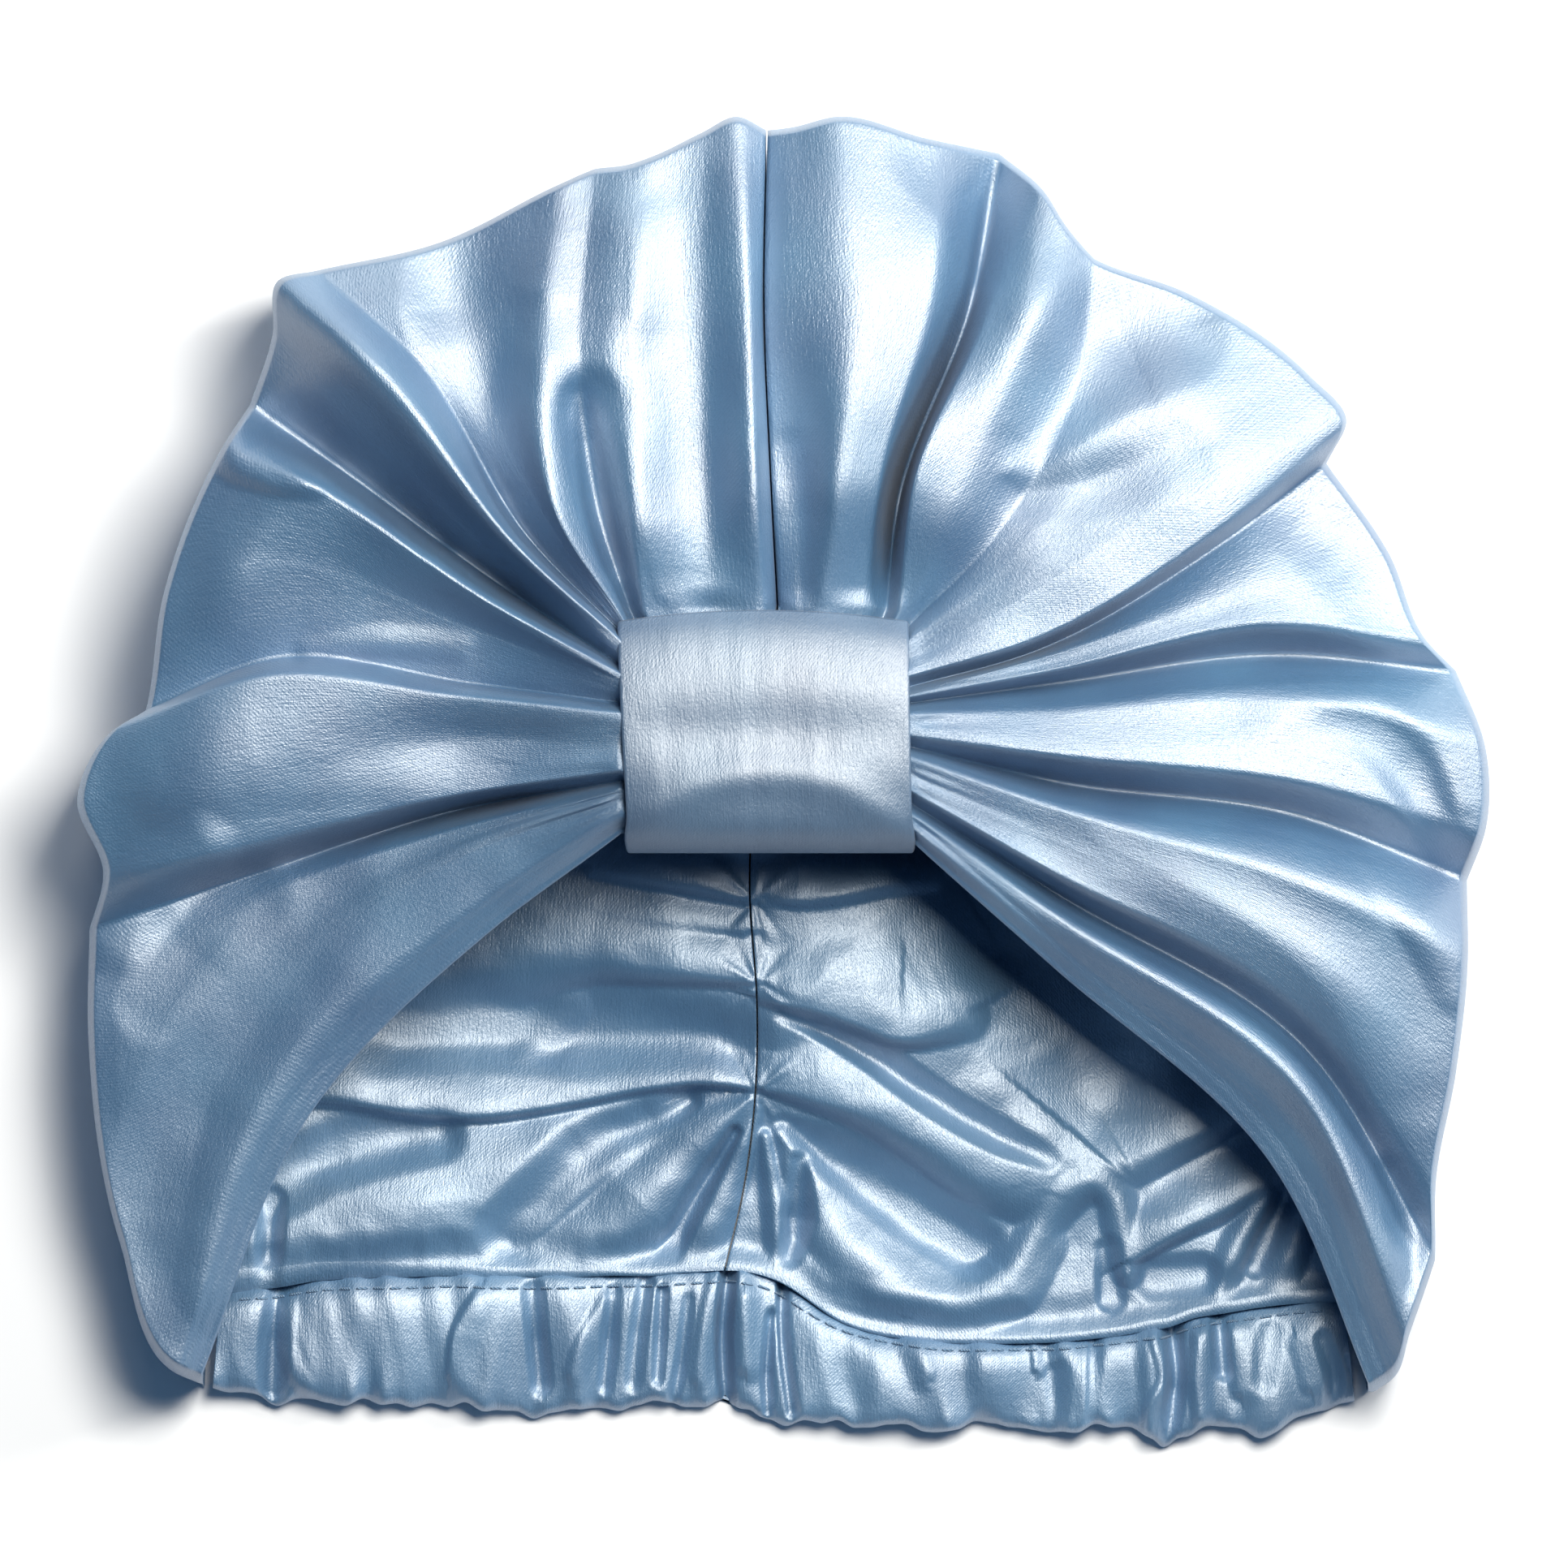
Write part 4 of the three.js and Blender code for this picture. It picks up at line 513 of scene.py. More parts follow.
# How fine the meshes are
COLUMN_STEP = 1.15
LEAST_COLUMNS = 4
EDGE_STEPS = 7
COVER_STEPS = 31
FOLD_SAMPLES = 29
BACK_ROWS = 330
BACK_ROW_GROWTH = 1.5
BACK_COLUMNS = 225
CASING_COLUMNS = 800
CASING_AROUND = 88
BAND_ROWS = 150
BAND_COLUMNS = 130

# Stations of a fold line: hidden under the band, open, over the rim's roll, under it, and flat on the floor
HIDDEN = np.linspace(0, 1, 9)[:-1]
OPEN = np.linspace(0, 1 - ROLL_SHARE, 112)[:-1]
ROLL = np.radians(np.linspace(0, 90, 34))
UNDER = np.radians(np.linspace(0, 90, 18)[1:])
FLAT = np.linspace(UNDER_ROLL_SHARE, 1, 6)[1:]
ON_TOP = np.ones(len(HIDDEN) + len(OPEN))

# At each station: how far it belongs to the cap's top side, and the lining's steps inward and up
TOP_SHARE = np.concatenate([ON_TOP, np.cos(ROLL), 0 * UNDER, 0 * FLAT])
LINING_INWARD = np.concatenate([0 * ON_TOP, np.sin(ROLL), np.cos(UNDER), 0 * FLAT]) * BACK_WALL
LINING_UP = np.concatenate([0 * ON_TOP, 0 * ROLL, np.sin(UNDER), 0 * FLAT + 1]) * BACK_WALL - (
    TOP_SHARE * FRONT_DRAPE
)

# Where the lining's last columns lie, as shares of its last step, at a free edge on the left and on the right
LEFT_LINING = np.append(np.linspace(0, 0.8, EDGE_STEPS), 0.9)
RIGHT_LINING = np.append(np.linspace(0.2, 0.95, EDGE_STEPS), 1)

# Folds of the front are made deeper against their mean over some columns. The gain fades in from the band
# and out toward the rim, over shares of the way.
FOLD_WINDOW = 45
FOLD_GAIN = 0.45
FOLD_FADES = (0.3, 0.2)

# A free edge: how far inside it its direction is taken, and how far it rolls, in degrees. The row, as a
# share of the way, along which the cloth's width is measured.
EDGE_INSIDE = 4
EDGE_TURN = 150
MEASURED_ROW = 0.55

# The stitched groove beside the front's free edge, and how the back's foot leans against the casing
HEM_WIDTH = 3.4
HEM_SOFT = 0.8
HEM_GROOVE = 0.45
CASING_LEAN = 0.42 * CASING_LOFT
LEAN_REACH = 4.5
SEAM_OVERLAP = 0.5
SEAM_REACH = 0.002

# The row of stitches on the casing
STITCH_PLACE = 0.9
STITCH_PITCH = 3.5
STITCH_LENGTH = 2.5
STITCH_RADIUS = 0.26
STITCH_LIFT = 0.28
STITCH_INSET = 4
# A stitch's rings: share of its length, and share of its radius
STITCH_RINGS = np.array([(0, 0.35), (0.06, 0.8), (0.16, 1), (0.5, 1), (0.84, 1), (0.94, 0.8), (1, 0.35)])
STITCH_SIDES = 6

# The photograph's size in pixels, the cap's middle in it, and its scale
PHOTO_PIXELS = 1932
CAP_MIDDLE_PIXEL = (967.5, 965.0)
MM_PER_PIXEL = 0.17
CAMERA_HEIGHT = 5.0
SENSOR = 36
FLOOR_DROP = -0.0006
FLOOR_HALF = 3.0
LAMP_AIM = (0, 0, 0.03)
LAMP_COLOUR = (1, 0.93, 0.81)
SATIN_INDEX = 3.3
SATIN_METAL = 0.2
SATIN_SPREAD = 0.07


# Curves

def curve(knots, values, at, corner=0.0, level=False):
    """Smooth curve through values at rising knots. A level curve lies flat at every high and low point."""
    knots = np.asarray(knots, float)
    values = np.asarray(values, float)
    single = values.ndim == 1
    if single:
        values = values[:, None]
    width = np.diff(knots)
    span = width[:, None]
    chord = np.diff(values, axis=0) / span
    before = np.vstack([chord[:1], chord])
    after = np.vstack([chord, chord[-1:]])
    if level:
        product = before * after
        total = np.where(product > 0, before + after, 1.0)
        slope = np.where(product > 0, 2 * product / total, 0.0)
    else:
        span_before = np.vstack([span[:1], span])
        span_after = np.vstack([span, span[-1:]])
        slope = (before * span_after + after * span_before) / (span_before + span_after)
    corner = np.broadcast_to(np.asarray(corner, float), (len(knots),))[:, None]
    into = slope + (before - slope) * corner
    out = slope + (after - slope) * corner
    index = np.clip(np.searchsorted(knots, at, side="right") - 1, 0, len(knots) - 2)
    t = ((at - knots[index]) / width[index])[:, None]
    rest = 1 - t
    hold = values[index] * (1 + 2 * t) * rest * rest + values[index + 1] * (3 - 2 * t) * t * t
    lean = out[index] * t * rest * rest - into[index + 1] * t * t * rest
    result = hold + lean * span[index]
    return result[:, 0] if single else result


def lengths_along(points):
    """How far along a row of plane points each one is."""
    steps = np.linalg.norm(np.diff(points[:, :2], axis=0), axis=1)
    return np.concatenate([[0.0], np.cumsum(steps)])


def plane_curve(points, at):
    """Points of a plane curve at shares of its length."""
    knots = lengths_along(points)
    return curve(knots / knots[-1], points, at)


def unit_rows(vectors):
    return vectors / np.linalg.norm(vectors, axis=-1, keepdims=True)


def smooth_step(value):
    value = np.clip(value, 0, 1)
    return value * value * (3 - 2 * value)


def bell(offset, width):
    return np.exp(-(offset / width) ** 2)


def soft_noise(across, along, seed):
    """Smooth noise between -1 and 1 whose cells are one unit wide, the same on every run."""
    size = 64
    cells = np.random.default_rng(seed).uniform(-1, 1, (size, size))
    left = np.floor(across).astype(int)
    low = np.floor(along).astype(int)
    u = smooth_step(across - left)
    v = smooth_step(along - low)

    def blend(row):
        first, second = (cells[(left + step) % size, (low + row) % size] for step in (0, 1))
        return first * (1 - u) + second * u

    return blend(0) * (1 - v) + blend(1) * v


# Folds

def nearest_on(line, spots):
    """For each spot: its distance from a line, how far along the line that is, and if it is on the right."""
    best = np.full(len(spots), np.inf)
    share = np.zeros(len(spots))
    side = np.zeros(len(spots))
    for index, (start, end) in enumerate(zip(line[:-1], line[1:])):
        along = end - start
        offset = spots - start
        t = np.clip(offset @ along / (along @ along), 0, 1)
        away = offset - t[:, None] * along
        distance = np.hypot(away[:, 0], away[:, 1])
        nearer = distance < best
        best = np.where(nearer, distance, best)
        share = np.where(nearer, (index + t) / (len(line) - 1), share)
        side = np.where(nearer, along[0] * away[:, 1] - along[1] * away[:, 0], side)
    return best, share, side < 0


def fold_height(spots, rows, crisp, gain):
    """Height of one fold at the spots. Gain scales its rise and its two widths."""
    rows = np.array(rows, float)
    rows[:, 2:] *= gain
    knots = lengths_along(rows)
    line = curve(knots, rows[:, :2], np.linspace(0, knots[-1], FOLD_SAMPLES))
    height = np.zeros(len(spots))
    reach = rows[:, 3:].max()
    near = np.all((spots > line.min(axis=0) - reach) & (spots < line.max(axis=0) + reach), axis=1)
    distance, share, right = nearest_on(line, spots[near])
    rise, left_width, right_width = (np.interp(share * knots[-1], knots, rows[:, k]) for k in (2, 3, 4))
    left_bell = np.clip(1 - (distance / left_width) ** 2, 0, 1) ** 2
    right_bell = np.clip(1 - (distance / right_width) ** 2, 0, 1) ** crisp
    height[near] = rise * np.where(right, right_bell, left_bell)
    return height


# Meshes

def zip_borders(first, second):
    """Triangles between two borders that start and end side by side."""
    faces = []
    i = 0
    j = 0
    while i < len(first) - 1 or j < len(second) - 1:
        ahead = (i + 1) / (len(first) - 1)
        behind = (j + 1) / (len(second) - 1)
        if j == len(second) - 1 or (i < len(first) - 1 and ahead <= behind):
            faces.append((first[i], first[i + 1], second[j]))
            i += 1
        else:
            faces.append((first[i], second[j + 1], second[j]))
            j += 1
    return faces


def grid_faces(index):
    """Quads between the rows and columns of a grid of vertex numbers."""
    return np.stack([index[:-1, :-1], index[:-1, 1:], index[1:, 1:], index[1:, :-1]], axis=-1).reshape(-1, 4)


def tube_faces(rings, around, start=0):
    """Quads round a tube of rings, and the triangles that close its two ends."""
    index = np.arange(rings * around).reshape(rings, around) + start
    after = np.roll(index, -1, axis=1)
    quads = np.stack([index[:-1], index[1:], after[1:], after[:-1]], axis=-1).reshape(-1, 4)
    fan = [(0, k, k + 1) for k in range(1, around - 1)]
    return quads, [index[0, list(step)] for step in fan] + [index[-1, list(step)][::-1] for step in fan]


def make_mesh(name, points, quads, triangles, uvs):
    """Closed mesh object from points in millimetres, with one UV layer that follows the cloth's threads."""
    mesh = bpy.data.meshes.new(name)
    corners = np.concatenate([quads.ravel(), np.ravel(triangles)]).astype(np.int32)
    sizes = np.repeat([4, 3], [len(quads), len(triangles)]).astype(np.int32)
    starts = (np.cumsum(sizes) - sizes).astype(np.int32)
    mesh.vertices.add(len(points))
    mesh.vertices.foreach_set("co", (points * MM).astype(np.float32).ravel())
    mesh.loops.add(len(corners))
    mesh.loops.foreach_set("vertex_index", corners)
    mesh.polygons.add(len(sizes))
    mesh.polygons.foreach_set("loop_start", starts)
    mesh.polygons.foreach_set("use_smooth", np.ones(len(sizes), bool))
    mesh.update(calc_edges=True)
    mesh.validate()
    layer = mesh.uv_layers.new(name="cloth")
    order = np.empty(len(mesh.loops), np.int32)
    mesh.loops.foreach_get("vertex_index", order)
    layer.data.foreach_set("uv", (uvs[order] * MM).astype(np.float32).ravel())
    turn_outward(mesh)
    piece = bpy.data.objects.new(name, mesh)
    bpy.context.scene.collection.objects.link(piece)
    return piece


def turn_outward(mesh):
    """Flip a closed mesh whose faces point in."""
    mesh.calc_loop_triangles()
    triangles = np.empty(len(mesh.loop_triangles) * 3, np.int32)
    mesh.loop_triangles.foreach_get("vertices", triangles)
    points = np.empty(len(mesh.vertices) * 3, np.float32)
    mesh.vertices.foreach_get("co", points)
    corners = points.reshape(-1, 3).astype(float)[triangles.reshape(-1, 3)]
    if np.linalg.det(corners).sum() < 0:
        mesh.flip_normals()


def cloth_body(name, face, lining, coarse=3):
    """Closed wall of cloth between a fine face and a coarser copy of its lining."""
    pick = np.ix_(*(np.unique(np.append(np.arange(0, count, coarse), count - 1)) for count in face.shape[:2]))
    uv = cloth_uv(face)
    fine = np.arange(face.shape[0] * face.shape[1]).reshape(face.shape[:2])
    back = lining[pick]
    plain = np.arange(back.shape[0] * back.shape[1]).reshape(back.shape[:2]) + fine.size
    points = np.concatenate([face.reshape(-1, 3), back.reshape(-1, 3)])
    uvs = np.concatenate([uv.reshape(-1, 2), uv[pick].reshape(-1, 2)])
    quads = np.concatenate([grid_faces(fine), grid_faces(plain)[:, ::-1]])
    triangles = [border[::-1] for border in zip_borders(fine[0], plain[0])]
    triangles += zip_borders(fine[-1], plain[-1])
    triangles += zip_borders(fine[:, 0], plain[:, 0])
    triangles += [border[::-1] for border in zip_borders(fine[:, -1], plain[:, -1])]
    return make_mesh(name, points, quads, triangles, uvs)


def cloth_uv(face):
    """Places along and across the cloth, in millimetres, so that threads follow the folds."""
    down = np.linalg.norm(np.diff(face, axis=0), axis=2)
    along = np.concatenate([np.zeros((1, face.shape[1])), np.cumsum(down, axis=0)])
    across = lengths_along(face[int(face.shape[0] * MEASURED_ROW)])
    return np.stack([np.broadcast_to(across, along.shape), along], axis=-1)


def rolled_edge(face, lining, at_start):
    """Columns that carry the face round the cloth's free edge toward its lining."""
    edge, inside = (0, EDGE_INSIDE) if at_start else (-1, -1 - EDGE_INSIDE)
    outward = face[:, edge] - face[:, inside]
    outward[:, 2] = 0
    outward = unit_rows(outward)
    middle = (face[:, edge] + lining[:, edge]) / 2
    half = (face[:, edge] - lining[:, edge]) / 2
    reach = np.linalg.norm(half, axis=1)[:, None]
    angles = np.radians(np.linspace(0, EDGE_TURN, EDGE_STEPS + 1)[1:])
    columns = [middle + half * np.cos(angle) + outward * reach * np.sin(angle) for angle in angles]
    return np.stack(columns[::-1] if at_start else columns, axis=1)


# Front

def band_section(steps):
    """Outer and inner line of the band, from the end of its leg inside the cap to its far edge."""
    line = [(BAND_WALL / 2 + along * (BAND_LENGTH - BAND_WALL / 2), up * LOFT) for along, up in BAND_LINE]
    points = np.array([BAND_LEG_END, BAND_LEG_BEND, *line]) + (BAND_HEM, 0)
    middle = plane_curve(points, np.linspace(0, 1, steps))
    along = unit_rows(np.gradient(middle, axis=0))
    across = np.stack([-along[:, 1], along[:, 0]], axis=1) * BAND_WALL / 2
    return middle + across, middle - across


inner_section = band_section(COVER_STEPS)[1]
cover = inner_section[np.argmin(inner_section[:, 0]):]


def root_place(share):
    """Place where a fold line comes out: up the band's left side, along its top and down its right side."""
    walked = share * (2 * ROOT_SIDE + BAND_WIDTH)
    if walked < ROOT_SIDE:
        return np.array([BAND_LEFT, ROOT_HEM + walked])
    if walked < ROOT_SIDE + BAND_WIDTH:
        return np.array([BAND_LEFT + walked - ROOT_SIDE, BAND_TOP + GAP])
    return np.array([BAND_RIGHT, BAND_TOP - (walked - ROOT_SIDE - BAND_WIDTH)])


def seam_place(share):
    table = np.array(SIDE_SEAM)
    return curve(table[:, 0], table[:, 1:] * (WIDTH, HEIGHT), np.atleast_1d(share))


def fold_line(row):
    """Points of a fold line on the cloth's face, and the steps from them to the lining."""
    kind, root_share = row[1], row[3]
    near, far, rim = np.array(row[4:]).reshape(3, 3) * (WIDTH, HEIGHT, LOFT)
    root = root_place(root_share)
    hub = np.array([BAND_MIDDLE[0] + (root_share - 0.5) * HUB_WIDTH, ROOT_HEM + HUB_INSET])
    spots = np.array([root, near[:2], far[:2], rim[:2]])
    knots = lengths_along(spots)
    knots = knots / knots[-1]
    dip = ROOT_DIP[kind] * LOFT
    root_height = np.interp(root[1], cover[:, 0], cover[:, 1]) - dip
    hub_height = HUB_HEIGHT - HUB_DIP_SHARE * dip
    far_height = far[2] - np.interp(root_share, *np.transpose(FAR_EASE))
    shoulder = rim[2] + (far_height - rim[2]) * SHOULDER_SHARE
    heights = [root_height, near[2], far_height, shoulder]
    over = 1 - ROLL_SHARE * (1 - np.sin(ROLL))
    to_seam = seam_place(root_share)[0] - rim[:2]
    back = np.append(UNDER_ROLL_SHARE * (1 - np.cos(UNDER)), FLAT)
    plan = np.concatenate([
        hub + (root - hub) * HIDDEN[:, None],
        curve(knots, spots, np.append(OPEN, over)),
        rim[:2] + to_seam * back[:, None],
    ])
    up = np.concatenate([
        hub_height + (root_height - hub_height) * HIDDEN,
        curve(knots, heights, OPEN, level=True),
        rim[2] + (curve(knots, heights, over, level=True) - rim[2]) * np.cos(ROLL),
        rim[2] * (1 - np.sin(UNDER)),
        0 * FLAT,
    ])
    steps = np.column_stack([unit_rows(to_seam) * LINING_INWARD[:, None], LINING_UP])
    return np.column_stack([plan, up]), steps


def gather_ripples(face, seed):
    """Small folds that run out from under the band and die away, and the cloth's slight unevenness."""
    share = np.linspace(0, 1, face.shape[1])[None, :]
    away = np.linalg.norm(face[:, :, :2] - face[len(HIDDEN), None, :, :2], axis=2)
    along = away / GATHER_BEAT
    ripples = np.zeros(away.shape)
    for step, (count, lean, beats, rise, reach) in enumerate(GATHERS):
        fade = rise * np.exp(-away / reach)
        ripples += fade * soft_noise(share * count + along * lean, along * beats, seed + step)
    for step, (cell, rise) in enumerate(UNEVEN, len(GATHERS)):
        ripples += soft_noise(face[:, :, 0] / cell, face[:, :, 1] / cell, seed + step) * rise
    return ripples * smooth_step(away / GATHER_START)


def deeper_folds(face):
    """What the folds gain where the cloth is loose, between the band and the rim."""
    window = np.hanning(FOLD_WINDOW)
    window /= window.sum()
    side = FOLD_WINDOW // 2
    wide = np.pad(face[:, :, 2], ((0, 0), (side, side)), mode="edge")
    mean = np.stack([np.convolve(row, window, "valid") for row in wide])
    station = (np.arange(len(face)) - len(HIDDEN)) / len(OPEN)
    loose = FOLD_GAIN * smooth_step(station / FOLD_FADES[0]) * smooth_step((1 - station) / FOLD_FADES[1])
    return loose[:, None] * (face[:, :, 2] - mean)


def front_half(name, rows, seam_first, seed):
    """One half of the front, between the centre seam and the free edge of the face opening."""
    points, steps = (np.stack(part) for part in zip(*(fold_line(row) for row in rows)))
    crisp = [row[2] for row in rows]
    wide = np.linalg.norm(np.diff(points[:, :, :2], axis=0), axis=2).max(axis=1)
    counts = np.maximum(np.round(wide / COLUMN_STEP).astype(int), LEAST_COLUMNS)
    columns = np.concatenate([index + np.arange(count) / count for index, count in enumerate(counts)])
    columns = np.append(columns, len(counts))
    face = []
    drop = []
    for row, step in zip(points.swapaxes(0, 1), steps.swapaxes(0, 1)):
        knots = lengths_along(row)
        at = np.interp(columns, np.arange(len(knots)), knots)
        plan = curve(knots, row[:, :2], at, crisp)
        face.append(np.column_stack([plan, curve(knots, row[:, 2], at, crisp, level=True)]))
        drop.append(curve(knots, step, at))
    face = np.array(face)

    spots = face[:, :, :2].reshape(-1, 2)
    raised = sum(fold_height(spots, fold, *FRONT_GAIN) for fold in FRONT_FOLDS.values())
    raised = raised.reshape(face.shape[:2]) + gather_ripples(face, seed) + deeper_folds(face)
    seam, inside, free = (0, 1, -1) if seam_first else (-1, -2, 0)
    hem = np.linalg.norm(face[:, :, :2] - face[:, free, None, :2], axis=2)
    raised -= HEM_GROOVE * bell(hem - HEM_WIDTH, HEM_SOFT)
    face[:, :, 2] += raised * TOP_SHARE[:, None]
    face[:, seam, :2] += unit_rows(face[:, inside, :2] - face[:, seam, :2]) * GAP / 2

    lining = face + np.array(drop)
    edge = rolled_edge(face, lining, not seam_first)
    near, far = (lining[:, -2:-1], lining[:, -1:]) if seam_first else (lining[:, :1], lining[:, 1:2])
    between = near + (far - near) * (RIGHT_LINING if seam_first else LEFT_LINING)[None, :, None]
    if seam_first:
        face = np.concatenate([face, edge], axis=1)
        lining = np.concatenate([lining[:, :-1], between], axis=1)
    else:
        face = np.concatenate([edge, face], axis=1)
        lining = np.concatenate([between, lining[:, 1:]], axis=1)
    return cloth_body(name, face, lining)


# Back

def casing_top(across):
    table = np.array(CASING_ROWS)[:, :2] * (WIDTH, HEIGHT)
    return curve(table[:, 0], table[:, 1], across)


def back_height(spots):
    across, along = spots.T
    raised = np.cbrt(sum(fold_height(spots, fold, *BACK_GAIN) ** 3 for fold in BACK_FOLDS.values()))
    raised += sum(fold_height(spots, hollow, *HOLLOW_GAIN) for hollow in BACK_HOLLOWS.values())
    raised += fold_height(spots, BACK_SWELL, *SWELL_GAIN)
    for wide, long, rise, seed in BACK_UNEVEN:
        raised += rise * soft_noise(across / wide, along / long, seed)
    over = np.clip(along - casing_top(across), 0, None)
    ruffle = soft_noise(across / RUFFLE_CELL[0], over / RUFFLE_CELL[1], RUFFLE_SEED)
    raised += (RUFFLE_RISE * ruffle + RUFFLE_LIFT) * np.exp(-over / RUFFLE_REACH)
    for x, y, seed in SEAM_PINCHES:
        away = np.hypot(across - x, along - y)
        turn = np.arctan2(along - y, across - x)
        fade = PINCH_RISE * np.exp(-away / PINCH_REACH) * smooth_step(away / PINCH_START)
        raised += fade * soft_noise(turn * PINCH_FOLDS, away / PINCH_LENGTH, seed)
    loose = smooth_step(over / PUFF_START) * smooth_step((PUFF_END - along) / PUFF_FADE)
    height = BACK_WALL + BACK_PUFF * loose + raised
    floor = BACK_WALL + BACK_LEAST
    height = floor + np.logaddexp(0, (height - floor) * BACK_STIFFNESS) / BACK_STIFFNESS
    return height + (BACK_WALL + CASING_LEAN - height) * bell(over, LEAN_REACH)


def back_half(name, side):
    """One half of the back: a patch between casing, side seam and centre seam, with its folds."""
    shares = {row[0]: row[3] for row in FOLD_ROWS}
    first, last = ("left_cheek", "left_tip_cut") if side < 0 else ("right_cheek", "right_sail_high")
    low, wide, high = shares[first], shares[last], shares["centre_seam"]

    def inset(share):
        share = np.atleast_1d(share)
        ahead = unit_rows(seam_place(share + SEAM_REACH) - seam_place(share - SEAM_REACH))
        return seam_place(share) + np.stack([ahead[:, 1], -ahead[:, 0]], axis=1) * SEAM_GAP

    across = np.linspace(0, 1, BACK_COLUMNS)
    along = np.linspace(0, 1, BACK_ROWS) ** BACK_ROW_GROWTH
    seam = np.array(BACK_SEAM) * (WIDTH, HEIGHT)
    inner = plane_curve(seam, along)
    inner[:, 0] += side * GAP / 2
    seam_foot = casing_top(seam[:1, 0])[0] - SEAM_OVERLAP
    inner[:, 1] = seam_foot + (inset(high)[0, 1] - seam_foot) * along
    outer = inset(low + (wide - low) * along)
    foot_x = outer[0, 0] + (inner[0, 0] - outer[0, 0]) * across
    foot = np.stack([foot_x, casing_top(foot_x) - SEAM_OVERLAP], axis=1)
    outer[0] = foot[0]
    top = inset(wide + (high - wide) * across)
    top[-1] = inner[-1]
    top[0] = outer[-1]

    a = across[None, :, None]
    b = along[:, None, None]
    sides = outer[:, None] * (1 - a) + inner[:, None] * a
    ends = foot[None] * (1 - b) + top[None] * b
    corners = (foot[0] * (1 - a) + foot[-1] * a) * (1 - b) + (outer[-1] * (1 - a) + inner[-1] * a) * b
    plan = sides + ends - corners
    height = back_height(plan.reshape(-1, 2)).reshape(*plan.shape[:2], 1)
    face = np.concatenate([plan, height], axis=2)
    lining = np.concatenate([plan, np.maximum(height - BACK_WALL, 0)], axis=2)
    return cloth_body(name, face, lining)


# Nape casing

def casing():
    """The gathered tube, and the line on it that the stitches follow."""
    table = np.array(CASING_ROWS)
    knots = np.arange(len(table))
    at = np.linspace(0, knots[-1], CASING_COLUMNS)
    top = curve(knots, table[:, :2] * (WIDTH, HEIGHT), at)
    hem = curve(knots, table[:, 2:4] * (WIDTH, HEIGHT), at)
    loft = curve(knots, FULL_LEAST + FULL_GAIN * table[:, 4], at, level=True)[:, None] * CASING_LOFT
    section = np.array(CASING_SECTION + CASING_SECTION[:1])
    walked = lengths_along(section * SECTION_SIZE)
    around = np.linspace(0, walked[-1], CASING_AROUND + 1)[:-1]
    side, full = curve(walked, section, around).T
    full = np.clip(full, 0, None)[None]
    plan = hem[:, None] * (1 - side[:, None]) + top[:, None] * side[:, None]

    spots = plan.reshape(-1, 2)
    raised = sum(fold_height(spots, fold, *CASING_GAIN) for fold in CASING_FOLDS.values())
    raised = raised.reshape(plan.shape[:2])
    length = lengths_along(hem)[:, None]
    edges = bell(1 - side, EDGE_WIDTHS[0]) + bell(side, EDGE_WIDTHS[1])
    cell, turns, seed = EDGE_GATHERS
    raised += soft_noise(length / cell, side * turns, seed) * (1 - EDGE_SHARE + EDGE_SHARE * edges)
    for cell, lean, turns, rise, seed in CASING_UNEVEN:
        raised += soft_noise(length / cell + side * lean, side * turns, seed) * rise
    up = full * loft + raised * smooth_step(full / SECTION_FOOT)
    up = np.where(full > 0, np.clip(up, CASING_LEAST, CASING_MOST), 0)
    points = np.concatenate([plan, up[:, :, None]], axis=2)
    scallop = sum(soft_noise(length / cell, length * 0, seed) * rise for cell, rise, seed in HEM_WAVES)
    points[:, :, 1] += scallop * (1 - smooth_step(side / HEM_WAVE_REACH))
    uv = np.stack(np.broadcast_arrays(length, around[None]), axis=-1)
    quads, ends = tube_faces(CASING_COLUMNS, CASING_AROUND)
    piece = make_mesh("casing_gathered", points.reshape(-1, 3), quads, ends, uv.reshape(-1, 2))
    return piece, points[:, np.argmin(np.abs(side - STITCH_PLACE) + (full[0] < SECTION_FOOT))]


def stitch_row(surface):
    """Short rounded threads laid end to end along a line on the casing."""
    turns = np.radians(np.arange(0, 360, 360 / STITCH_SIDES))
    circle = np.stack([0 * turns, np.cos(turns), np.sin(turns)], axis=1) * STITCH_RADIUS
    spots = []
    quads = []
    ends = []
    for start in np.arange(surface[0, 0] + STITCH_INSET, surface[-1, 0] - STITCH_INSET, STITCH_PITCH):
        across = start + STITCH_LENGTH * STITCH_RINGS[:, 0]
        along, up = (np.interp(across, surface[:, 0], surface[:, axis]) for axis in (1, 2))
        middle = np.column_stack([across, along, up + STITCH_LIFT])
        walls, caps = tube_faces(len(middle), STITCH_SIDES, len(spots) * len(middle) * STITCH_SIDES)
        spots.append((middle[:, None] + STITCH_RINGS[:, 1, None, None] * circle).reshape(-1, 3))
        quads.append(walls)
        ends += caps
    spots = np.concatenate(spots)
    return make_mesh("casing_stitches", spots, np.concatenate(quads), ends, spots[:, :2])


# Knot band

